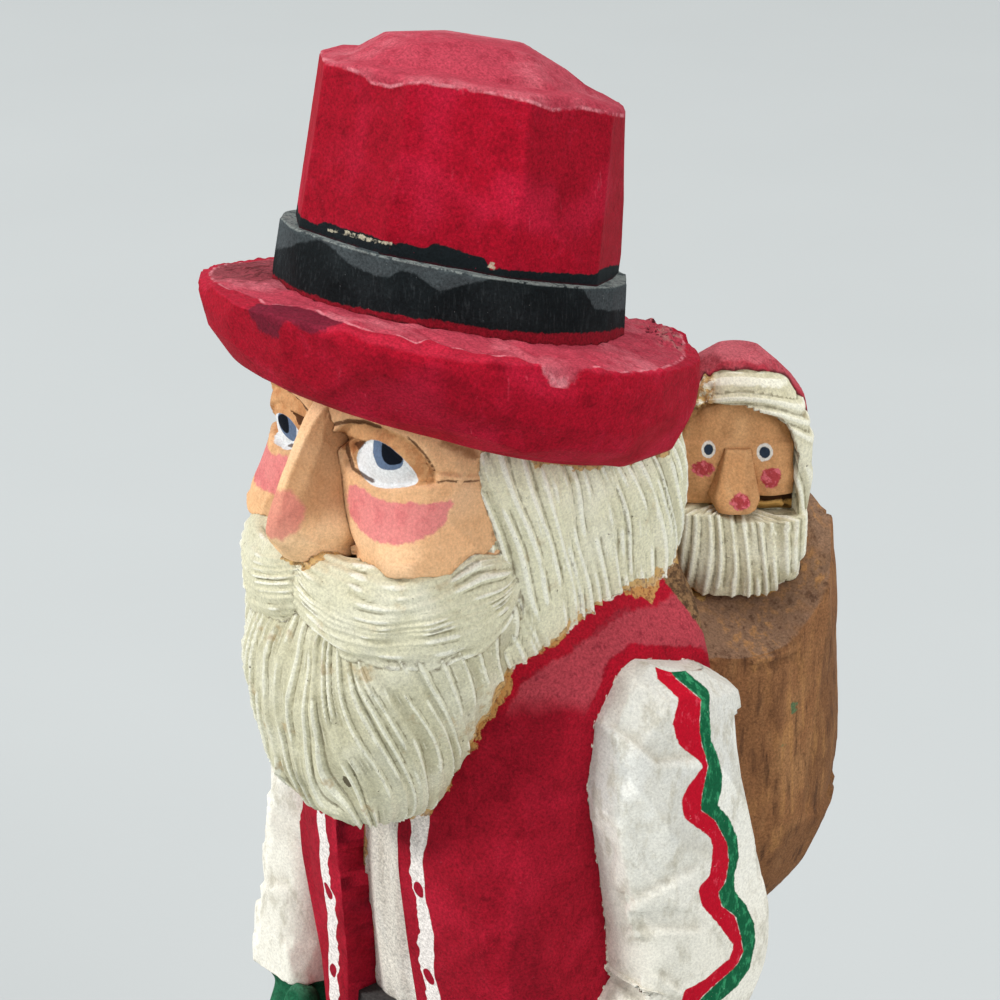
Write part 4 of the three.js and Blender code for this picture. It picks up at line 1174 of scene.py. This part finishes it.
# %% Legs, boots and base
hips_table = [
    (76, 0, 9, 22, 13, 13, 2.4), (86, 0, 9, 30, 20, 19, 2.6), (98, 0, 9, 33, 26, 22, 2.6),
    (111, 0, 9, 31, 33.5, 22, 2.6),
]
hips = Block("trousers_seat", 120, 36, stacked(hips_table), caps=4)
trousers, boots = [hips], []
for side, name in ((-1, "right"), (1, "left")):
    leg_table = [
        (side * 16.5, 6, 32, 13.5, 15), (side * 16.5, 6, 38, 16, 17.5), (side * 16, 7, 60, 16.5, 18.5),
        (side * 16, 8.5, 80, 17, 20), (side * 15.5, 9, 98, 17, 21),
    ]
    shaft_table = [
        (side * 17.5, 6, -1.5, 11.5, 14), (side * 17.5, 6, 14, 11.5, 13),
        (side * 17.2, 6, 29, 12.2, 13.2), (side * 17, 6, 40, 13, 14),
    ]
    foot_table = [
        (-1.5, side * 19, -7, 12, 26, 22, 2.6), (6, side * 19, -7, 12.5, 26.5, 22, 2.5),
        (15, side * 18.6, -5, 11, 21, 18, 2.3), (21, side * 18.2, 0, 8, 12, 12, 2.2),
    ]
    trousers.append(Block(f"trouser_leg_{name}", 100, 50, swept(leg_table, (1, 0, 0), 2.6), caps=4))
    boots.append(Block(f"boot_shaft_{name}", 88, 36, swept(shaft_table, (1, 0, 0), 2.4), caps=3))
    boots.append(Block(f"boot_foot_{name}", 112, 40, stacked(foot_table), caps=8))
for part in trousers:
    knife(part, 9, tilt=4, stretch=(1, 1, 2), seed=81)
for part in boots:
    knife(part, 7, tilt=4, depth=0.5, seed=83)

base_table = [
    (-10, 0, 0, 44.5, 51.5, 51.5, 3.4), (-7.5, 0, 0, 47, 54, 54, 3.4), (-2.5, 0, 0, 47, 54, 54, 3.4),
    (0, 0, 0, 44.5, 51.5, 51.5, 3.4),
]


def base_place(angle, share, size):
    """Rings of the base, with straight sides between its stations."""
    table = np.array(base_table)
    columns = [np.interp(share * 3, range(4), table[:, k]) for k in range(7)]
    x, y = outline(angle, *columns[3:])
    return np.stack([x * size, y * size, columns[0] + BASE], 1)


base = Block("base", 200, 50, base_place, caps=16)
top = base.points[:, 2] > 0.6
knife(base, 9, tilt=3, depth=0.5, sink=0.25, seed=91, where=top * 1.0)

# %% [markdown]
# ## Where forms meet
# Each form keeps how far it is from the next one. Paint stops short of such a corner, dirt gathers
# there, the paint is darkened there as painted shade in the corner, and the bare wood shows where the
# knife ended a cut.

# %% Seams
CELL = 4.0  # mm
GRID_START = (70, 80, 10)  # mm from the grid's corner to the middle of the base
GRID_SIZE = np.array([42, 46, 90])  # cells, with a spare one at each side


def cells(points):
    """The cell of a coarse grid round the figure that each point is in."""
    place = (np.asarray(points) + GRID_START) / CELL
    return tuple(np.clip(place, 1, GRID_SIZE - 2).astype(int).T)


def near_cells(points):
    """The cells that hold any of the points, and the cells next to them."""
    full = np.zeros(GRID_SIZE, bool)
    full[cells(points)] = True
    for axis in range(3):
        full = full | np.roll(full, 1, axis) | np.roll(full, -1, axis)
    return full


BLENDED = {"hat_crown": ("hat_top",), "hat_top": ("hat_crown",)}  # carved as one, with no corner
# the neighbours towards which a knife ended its cut in bare wood
WOODEN = {
    "waistcoat": ("hair", "beard"), "hair": ("waistcoat", "hat_brim"), "beard": ("waistcoat",),
    "moustache_left": ("nose",), "moustache_right": ("nose",), "sack": ("doll_beard", "bare_wood"),
    "doll_beard": ("sack",), "shirt_front": ("waistcoat",),
}


def find_seams():
    """Measure with Blender's own search tree, but only where another form is within a cell."""
    trees = []
    for block in blocks:
        corners, faces = block.mesh.vertices, block.mesh.polygons
        trees.append(BVHTree.FromPolygons([v.co for v in corners], [f.vertices for f in faces]))
    crowded = [near_cells(b.points) for b in blocks]
    for block in blocks:
        points = block.points
        place = cells(points)
        near = {"seam": np.full(len(points), CELL), "wood": np.full(len(points), CELL)}
        for other, tree, full in zip(blocks, trees, crowded):
            if other is not block and other.name not in BLENDED.get(block.name, ()):
                for i in np.flatnonzero(full[place]):
                    found = tree.find_nearest(points[i] * MM, CELL * MM)
                    gap = found[3] / MM if found[0] is not None else CELL
                    near["seam"][i] = min(gap, near["seam"][i])
                    if other.name in WOODEN.get(block.name, ()):
                        near["wood"][i] = min(gap, near["wood"][i])
        for name, values in near.items():
            block.mark(name, values)
        print(f"{block.name}: {(near['seam'] < 1).mean():.0%} of it within 1 mm of another form")


find_seams()

# %% [markdown]
# ## Paints
# All coats are the same kind of paint, so one recipe makes them: a base colour with darker and lighter
# clouds, dust where it looks up, knife edges that are worn and given a painted highlight, facets
# that differ a little in painted shading, bare wood, and dirt with painted shade at the seams. What
# is painted over a coat, such as an eye or a braid, is a function of its own. The marks from the mesh
# say where, and noise on Object coordinates roughens their edges, as a brush does.

# %% Coats
OCHRE, RAW_BROWN = rgb(206, 163, 96), rgb(112, 78, 48)


def bare_wood(p, wide, uneven):
    """The tone of wood that was never painted, and where it shows: beside the end of a knife cut."""
    strip = (wide + (p.noise(7, 2) - 0.5) * uneven - p.mark("wood") + (p.ragged - 0.5) * 2).above(0, 0.2)
    return p.blend(OCHRE, RAW_BROWN, p.noise(0.9, 3, 0.7).above(0.48, 0.62) * 0.75), strip


def coat(
    name, colour, dark, light, dusty, dust=0.6, edge_wear_and_highlight=0.3, seam_grime_and_shade=(38, 28, 24), wood=0.8,
    grain=(1, 1, 1), turn=(0, 0, 0), deep=0.5, speckle=2.0, over=None,
):
    """Thin matt paint: uneven, dusty where it looks up, worn and painted bright on knife edges, with
    painted shading from facet to facet, and dirt and painted shade at the seams.
    """
    p = Paint(name)
    p.fine, p.cloud, p.ragged = p.noise(0.55, 3, 0.75), p.noise(14, 2, 0.5), p.noise(1.5, 4, 0.65)
    p.blotch = p.noise(3.4, 4, 0.6, grain, turn)
    p.seam = p.mark("seam")
    tone = p.blend(rgb(*colour), rgb(*dark), p.blotch.above(0.5, 0.72) * 0.5)
    tone = p.blend(tone, rgb(*light), p.cloud.above(0.48, 0.7) * 0.6)
    tone = p.blend(tone, rgb(*light), p.blotch.above(0.44, 0.25) * 0.4)
    up = p.node("SeparateXYZ", {}, {0: p.node("NewGeometry", output="Normal")}, "Z")
    tone = p.blend(tone, rgb(*dusty), (up + (p.blotch - 0.5) * 0.8).above(0.4, 0.85) * dust)
    # Knife edges: darker in places, and lighter as worn paint with a painted highlight
    edge = p.mark("edge") * p.cloud.above(0.42, 0.55)
    tone = p.blend(tone, rgb(*dark), p.mark("edge") * p.cloud.above(0.52, 0.4) * edge_wear_and_highlight)
    tone = p.blend(tone, rgb(*light), edge * edge_wear_and_highlight)
    # Each facet a little lighter or darker: painted shading from facet to facet
    tone = p.blend(tone, p.mark("flat") * 0.13 + 1.0, 1.0, "MULTIPLY")
    if over:
        tone = over(p, tone)
    tone = p.grain(tone, p.fine, speckle)
    tone = p.blend(tone, rgb(*dusty), p.noise(0.8, 2, 0.7).above(0.7, 0.78) * 0.45)
    wooden, strip = bare_wood(p, 0.5, 7)
    tone = p.blend(tone, wooden, strip * wood)
    # Darker close to another form: dirt, and painted shade in the corner where two forms meet
    dirt_and_shade = (deep - p.seam + (p.ragged - 0.5) * 0.9).above(0, 0.5)
    tone = p.blend(tone, rgb(*seam_grime_and_shade), dirt_and_shade * 0.8)
    p.finish(tone, 0.72 + 0.2 * p.blotch, p.fine * 2.2 + p.blotch * 2 + p.ragged * 1.2, 0.6, 0.12)
    return p


def worn_red(p, tone):
    """The hat: rubbed to pink on top and at the rim, with a painted highlight along the rim, black from the
    band at the crown's foot.
    """
    pink = p.blend(rgb(172, 60, 76), rgb(196, 108, 118), p.cloud.above(0.42, 0.65) * 0.7)
    pink = p.blend(pink, rgb(150, 44, 60), p.blotch.above(0.5, 0.68) * 0.65)
    pink = p.blend(pink, rgb(168, 132, 124), p.mark("rough") * p.blotch.above(0.5, 0.35) * 0.8)
    pink = p.blend(pink, rgb(60, 20, 28), p.mark("rough").above(0.2, 0.6) * p.ragged.above(0.56, 0.62))
    tip = p.blend(rgb(126, 60, 66), rgb(66, 32, 32), p.noise(1.5, 3, 0.7, (1, 3, 1)).above(0.52, 0.6))
    pink = p.blend(pink, tip, (p.mark("tip") + (p.blotch - 0.5) * 0.8).above(0.25, 0.7) * 0.85)
    tone = p.blend(tone, rgb(84, 24, 42), p.patch("bruise", 2.5, 0, 0.9) * 0.75)
    tone = p.blend(tone, pink, p.patch("worn", 1.6, -0.25, 0.35) * 0.92)
    # A painted highlight: a lighter pink line where the rubbed pink meets the red, along the brim's rim and
    # the crown's upper edge
    rim_highlight = (0.5 - (p.shape("worn") - 0.3).size()).above(0, 0.4) * p.blotch.above(0.45, 0.6)
    tone = p.blend(tone, rgb(222, 140, 148), rim_highlight * 0.6)
    scuffs = p.noise(1.2, 2, 0.6, (1, 1, 7), (0.6, 0.5, 0)).above(0.66, 0.74) * p.cloud.above(0.5, 0.6)
    tone = p.blend(tone, rgb(200, 70, 88), scuffs * 0.35)
    tone = p.blend(tone, rgb(20, 26, 29), p.patch("black", 1.0, -0.15, 0.15))
    return p.blend(tone, rgb(190, 180, 156), p.patch("sliver", 1.6, 0, 0.2) * 0.85)


def banded(p, tone):
    """The hat band: greyer where light has faded its upper part, with red below it."""
    streaks = p.noise(0.5, 2, 0.6, (1, 1, 5))
    tone = p.blend(tone, rgb(82, 90, 92), streaks.above(0.5, 0.8) * 0.2)
    tone = p.blend(tone, rgb(70, 78, 80), p.patch("grey", 1.2, -0.2, 0.4) * (0.25 + p.cloud))
    lip = (0.35 - (p.shape("grey top") - 0.3).size()).above(0, 0.3)
    tone = p.blend(tone, rgb(132, 138, 134), lip * p.ragged.above(0.4, 0.5) * 0.7)
    tone = p.blend(tone, rgb(150, 156, 154), p.noise(0.7, 2, 0.6).above(0.74, 0.78) * 0.3)
    return p.blend(tone, rgb(126, 16, 32), p.patch("red strip", 1.6, -0.1, 0.3))


def trimmed(p, tone):
    """The waistcoat: dusty shoulders inside brighter edges, and a wavy white trim with red ovals."""
    high = p.node("SeparateXYZ", {}, {0: p.spot}, "Z")
    shoulder = (high + (p.cloud - 0.5) * 24).above(199, 209)
    inward = (p.seam + (p.ragged - 0.5) * 2 + (p.cloud - 0.5) * 2).above(2.6, 3.3)
    tone = p.blend(tone, rgb(180, 70, 80), shoulder * inward * 0.8)
    tone = p.blend(tone, rgb(120, 30, 44), shoulder * inward * p.noise(2, 4, 0.7).above(0.56, 0.66) * 0.5)
    tone = p.blend(tone, rgb(176, 10, 36), (p.seam + (p.blotch - 0.5) * 3).above(3.0, 2.2) * shoulder * 0.7)
    wave = (p.noise(9, 1, 0.5, (9, 9, 1)) - 0.5) * 3.5 + (p.noise(3, 1, 0.5, (9, 9, 1)) - 0.5) * 1.6
    off = p.shape("fronts") - 5.6 + wave
    wide = 1.9 + (p.noise(6, 2, 0.6, (9, 9, 1)) - 0.5) * 3
    tone = p.blend(tone, rgb(232, 224, 218), (wide - off.size() + (p.ragged - 0.5) * 0.4).above(-0.1, 0.12))
    left = p.node("SeparateXYZ", {}, {0: p.spot}, "X").above(-0.1, 0.1)
    apart = 20.6  # mm from one oval to the next
    turns = (high + 6.6 - left * 14.0) / apart
    along = (turns.maths("FRACT", turns) - 0.5) * apart
    oval = 1.0 - along * along / 3.2 - off * off / 2.0
    tone = p.blend(tone, rgb(150, 14, 38), oval.above(-0.1, 0.15))
    stains = p.noise(1.6, 4, 0.7, (2, 2, 1)).above(0.45, 0.6)
    wooden = p.blend(rgb(136, 104, 72), rgb(66, 46, 34), stains * 0.8)
    tone = p.blend(tone, wooden, p.patch("back", 1.2, -0.1, 0.3))
    white = (0.25 - p.seam + (p.blotch - 0.5) * 2.2).above(0, 0.15) * p.mark("outer").above(22, 25)
    return p.blend(tone, rgb(228, 222, 208), white * 0.9)


def braided(p, tone):
    """The sleeve: painted lighter low down as painted light, with a painted shadow below each of its folds,
    and a wavy red line and a green one beside it, put on with a wet brush.
    """
    high = p.node("SeparateXYZ", {}, {0: p.spot}, "Z")
    # Painted light: the white is painted lighter from 180 mm down to 145 mm, where the sleeve turns down,
    # away from the lamps
    tone = p.blend(tone, rgb(248, 243, 228), high.above(180, 145) * 0.7)
    tone = p.blend(tone, rgb(190, 184, 166), p.noise(4, 4, 0.65, (1, 1, 2)).above(0.5, 0.66) * 0.6)
    tone = p.blend(tone, rgb(160, 150, 132), p.noise(1.2, 4, 0.7).above(0.66, 0.74) * 0.5)
    wet = p.noise(1.4, 3, 0.7, (1, 1, 2))
    # A painted shadow in the hollow below each of the folds
    fold = (p.mark("fold") + (p.blotch - 0.5) * 0.5).above(0.1, 0.9)
    tone = p.blend(tone, rgb(184, 176, 158), fold * 0.7)
    green_line = p.blend(rgb(14, 92, 58), rgb(58, 156, 106), wet.above(0.48, 0.66) * 0.8)
    red_line = p.blend(rgb(190, 10, 38), rgb(224, 74, 92), wet.above(0.56, 0.7) * 0.6)
    tone = p.blend(tone, green_line, p.patch("green braid", 0.7, -0.12, 0.12))
    return p.blend(tone, red_line, p.patch("red braid", 0.7, -0.12, 0.12))


def streaked(p, tone):
    """The sack: brown put on in slanting strokes with some gold in it, and stray green spots."""
    strokes = p.noise(2.2, 3, 0.6, (1, 1, 6), (0.5, 0.35, 0))
    tone = p.blend(tone, rgb(172, 124, 76), strokes.above(0.5, 0.66) * p.cloud.above(0.35, 0.6) * 0.7)
    tone = p.blend(tone, rgb(76, 50, 36), strokes.above(0.46, 0.3) * 0.7)
    return p.blend(tone, rgb(70, 112, 78), p.patch("green", 2.5, 0, 0.5) * 0.8)


def made_up(p, tone):
    """The face: rosy cheeks, tan-stained lids, painted shade on the temples, in the eye's inner corner and
    in its knife lines, and blue eyes that look aside.
    """
    lid = p.blend(rgb(206, 154, 104), rgb(180, 118, 70), p.blotch.above(0.42, 0.6) * 0.8)
    tone = p.blend(tone, lid, p.patch("socket", 0.7, -0.2, 0.4) * 0.8)
    # Painted shade: a brown patch on the temple, beside the hair
    temple = (p.shape("temple") + (p.blotch - 0.5) * 3).above(-0.5, 1.2)
    tone = p.blend(tone, rgb(136, 82, 46), temple * 0.75)
    tone = p.blend(tone, rgb(146, 92, 52), p.patch("facet", 0.7, -0.2, 0.4) * 0.8)
    # Painted shade: the recess at the eye's inner corner painted dark brown
    tone = p.blend(tone, rgb(120, 68, 36), p.patch("corner", 0.7, 0, 0.8) * 0.5)
    rosy = p.blend(rgb(225, 127, 132), rgb(211, 103, 114), p.blotch.above(0.45, 0.65) * 0.6)
    tone = p.blend(tone, rosy, p.patch("blush", 2, -0.2, 0.5) * 0.85)
    eye = p.patch("white", 0.42, -0.1, 0.12)
    tone = p.blend(tone, rgb(228, 230, 230), eye)
    tone = p.blend(tone, rgb(98, 116, 142), p.patch("iris", 0.35, -0.1, 0.1) * eye)
    tone = p.blend(tone, rgb(8, 14, 24), p.patch("pupil", 0.35, -0.1, 0.1) * eye)
    # Painted shade: dark brown in the knife lines round the eye and in the hole at its inner corner
    cut_and_hole_shade = p.patch("line", 0.49, -0.15, 0.15).most(p.patch("hole", 0.7, 0, 0.3))
    return p.blend(tone, rgb(70, 38, 20), cut_and_hole_shade * 0.85)


def nosed(p, tone):
    """The nose: shaded along its sides, with a rosy tip."""
    tone = p.blend(tone, rgb(172, 120, 78), p.mark("flank") * 0.7)
    return p.blend(tone, rgb(216, 126, 118), p.patch("blush", 2, -0.4, 0.8) * 0.75)


def doll_marks(p, tone):
    """The doll's face and nose: round eyes, rosy spots and the bare slot below the cheeks, painted dark at
    its top as painted shade under the cheeks.
    """
    # Bare wood in the slot, painted dark brown at its top as painted shade under the cheeks
    slot_shaded_at_top = p.blend(OCHRE, rgb(60, 38, 20), p.patch("bare", 2.4, 2.2, 1.4))
    tone = p.blend(tone, slot_shaded_at_top, p.patch("bare", 0.8, 0, 0.2))
    rosy = p.blend(rgb(166, 20, 60), rgb(214, 96, 118), p.ragged.above(0.5, 0.6))
    tone = p.blend(tone, rosy, p.patch("blush", 2, 0, 0.4) * 0.85)
    tone = p.blend(tone, rgb(226, 222, 214), p.patch("eye", 0.8, -0.05, 0.2))
    return p.blend(tone, rgb(44, 56, 72), p.patch("pupil", 0.48, -0.05, 0.15))


red = coat(
    "hat_red", (156, 8, 33), (112, 3, 20), (184, 26, 56), (190, 50, 74), 0.3, seam_grime_and_shade=(60, 12, 22),
    over=worn_red,
)
red_plain = coat(
    "waistcoat_red", (148, 14, 34), (104, 5, 20), (174, 24, 48), (180, 70, 82), 0.3, seam_grime_and_shade=(70, 10, 20),
    deep=0.3, over=trimmed,
)
cap_red = coat("doll_cap_red", (176, 54, 68), (136, 26, 42), (198, 92, 102), (198, 108, 116), 0.6)
black = coat(
    "band_black", (14, 21, 23), (8, 12, 14), (32, 39, 41), (50, 57, 59), 0.3, wood=0.0, seam_grime_and_shade=(14, 15, 16),
    speckle=2.4, over=banded,
)
flesh = coat(
    "flesh_paint", (230, 181, 134), (206, 152, 106), (240, 200, 158), (240, 200, 160), 0.25,
    seam_grime_and_shade=(92, 56, 30), wood=0.0, deep=0.35, speckle=0.9, over=made_up,
)
nose_flesh = coat(
    "nose_flesh", (240, 196, 148), (218, 168, 120), (246, 210, 168), (246, 210, 170), 0.25,
    seam_grime_and_shade=(96, 58, 32), wood=0.0, deep=0.35, speckle=0.9, over=nosed,
)
brown = coat(
    "sack_brown", (134, 92, 60), (86, 56, 38), (160, 118, 78), (135, 109, 90), 0.7, grain=(1, 1, 3),
    turn=(0.5, 0.3, 0), over=streaked,
)
sleeve_white = coat(
    "sleeve_white", (226, 224, 214), (200, 195, 180), (236, 236, 230), (236, 236, 228), 0.4, edge_wear_and_highlight=0.5,
    wood=0.0, deep=0.2, seam_grime_and_shade=(170, 120, 104), speckle=0.9, over=braided,
)
shirt_white = coat(
    "shirt_white", (216, 210, 198), (178, 168, 152), (230, 228, 220), (228, 226, 216), 0.3, wood=0.9,
    grain=(1, 1, 5),
)
green = coat("mitten_green", (24, 92, 62), (10, 54, 34), (58, 128, 92), (84, 140, 110), 0.4)
trouser = coat("trouser_brown", (86, 66, 54), (58, 44, 36), (112, 88, 70), (120, 100, 84), 0.4)
boot_black = coat("boot_black", (40, 38, 38), (20, 20, 21), (70, 68, 66), (84, 82, 80), 0.4)
earth = coat("base_green", (98, 104, 76), (70, 76, 54), (126, 130, 98), (134, 134, 106), 0.4)
doll_flesh = coat(
    "doll_flesh", (204, 152, 104), (170, 116, 72), (220, 174, 126), (208, 168, 124), 0.2, wood=0.0,
    deep=0.3, seam_grime_and_shade=(80, 50, 24), speckle=1.0, over=doll_marks,
)
bare = coat(
    "raw_wood", (180, 138, 84), (100, 70, 44), (206, 168, 112), (196, 158, 104), 0.3, seam_grime_and_shade=(52, 34, 20),
    deep=1.2, speckle=2,
)

# %% [markdown]
# Hair has a recipe of its own. Paint is thin and bright on the ridge between two strokes, which also
# gets a painted highlight, and gathers in the hollows, which are also darkened as painted shade, with
# a painted shadow in a thin line beside each ridge. So here the marks of the gouge lead, and not
# those of the knife.


# %% Hair paint
def hair_paint(name, colour, dark, light, stain=0.25):
    """Cream paint that lies bright on the ridges, worn and with a painted highlight, with a painted shadow
    beside each ridge, and grey in the hollows as grime and painted shade.
    """
    p = Paint(name)
    p.fine, p.cloud, p.ragged = p.noise(0.55, 3, 0.75), p.noise(11, 2, 0.5), p.noise(1.5, 4, 0.65)
    p.blotch = p.noise(2.5, 4, 0.6)
    tone = p.blend(rgb(*colour), rgb(*dark), p.blotch.above(0.5, 0.75) * 0.5)
    # Darker in the hollows: grime, and painted shade
    tone = p.blend(tone, rgb(*dark), p.mark("hollow").above(0.2, 1.0) * 0.55)
    tone = p.blend(tone, rgb(*light), p.cloud.above(0.45, 0.7) * 0.4)
    # Lighter on the ridges: worn paint, and a painted highlight
    tone = p.blend(tone, rgb(*light), (p.mark("ridge") + (p.ragged - 0.5) * 0.5).above(0.35, 0.75) * 0.9)
    # A painted shadow: a thin dark line beside each ridge
    tone = p.blend(tone, rgb(112, 104, 78), (p.mark("cut") + (p.ragged - 0.5) * 1.4).above(0.55, 1.0) * 0.6)
    tone = p.blend(tone, rgb(176, 146, 98), p.noise(7, 3, 0.7).above(0.6, 0.72) * stain)
    tone = p.grain(tone, p.fine, 1.1)
    wooden, strip = bare_wood(p, 0.8, 6)
    strip = strip.most(p.mark("rough").above(0.3, 0.8) * p.ragged.above(0.44, 0.5))
    tone = p.blend(tone, wooden, strip * 0.85)
    # Darker close to another form: dirt, and painted shade in the corner where two forms meet
    dirt_and_shade = (0.3 - p.mark("seam") + (p.ragged - 0.5) * 1.2).above(0, 0.5)
    tone = p.blend(tone, rgb(84, 66, 42), dirt_and_shade * 0.75)
    specks = p.ragged.above(0.67, 0.7) * p.blotch.above(0.5, 0.56)
    specks = specks.most(p.patch("nick", 1.6, 0, 0.2))
    tone = p.blend(tone, rgb(66, 52, 34), specks * 0.85)
    p.finish(tone, 0.75 + 0.15 * p.blotch, p.fine * 2.4 + p.ragged * 2, 0.6, 0.12)
    return p


hanks = hair_paint("moustache_white", (217, 213, 184), (180, 174, 144), (240, 238, 221))
whiskers = hair_paint("beard_white", (207, 203, 174), (166, 160, 130), (238, 236, 216), 0.55)
locks = hair_paint("hair_white", (226, 223, 194), (188, 183, 154), (244, 243, 226))
doll_whiskers = hair_paint("doll_hair_white", (218, 212, 182), (176, 168, 136), (242, 239, 220))

# %% [markdown]
# ## Finishing
# Each block becomes an object, tied to the frame. Its place is in its mesh, so the object stays at the
# origin. A mark that a coat asks for and a piece hasn't got would read as 0, which is an edge, so it
# is filled in as far outside.

# %% Finish the pieces
# by the whole name of a piece, or by its first word
paints = {
    "hat": red, "hat_band": black, "hair": locks, "face": flesh, "nose": nose_flesh,
    "moustache": hanks, "beard": whiskers, "waistcoat": red_plain, "shirt": shirt_white,
    "belt": boot_black, "sleeve": sleeve_white, "mitten": green, "thumb": green, "sack": brown,
    "bare": bare, "doll_hair": doll_whiskers, "doll_beard": doll_whiskers, "doll_face": doll_flesh,
    "doll_nose": doll_flesh, "doll_cap": cap_red, "trousers": trouser, "trouser": trouser,
    "boot": boot_black, "base": earth,
}
total = 0
for block in blocks:
    paint = paints.get(block.name) or paints[block.name.split("_")[0]]
    piece = bpy.data.objects.new(block.name, block.mesh)
    bpy.context.collection.objects.link(piece)
    for name in paint.shapes - set(block.mesh.attributes.keys()):
        block.mark(name, np.full(len(block.mesh.vertices), OUTSIDE))
    piece.data.materials.append(paint.material)
    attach(piece, "root")
    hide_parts("santa_carving")
    triangles = sum(len(p.vertices) - 2 for p in block.mesh.polygons)
    total += triangles
    print(f"{block.name}: {triangles} triangles")
print("triangles in all:", total)
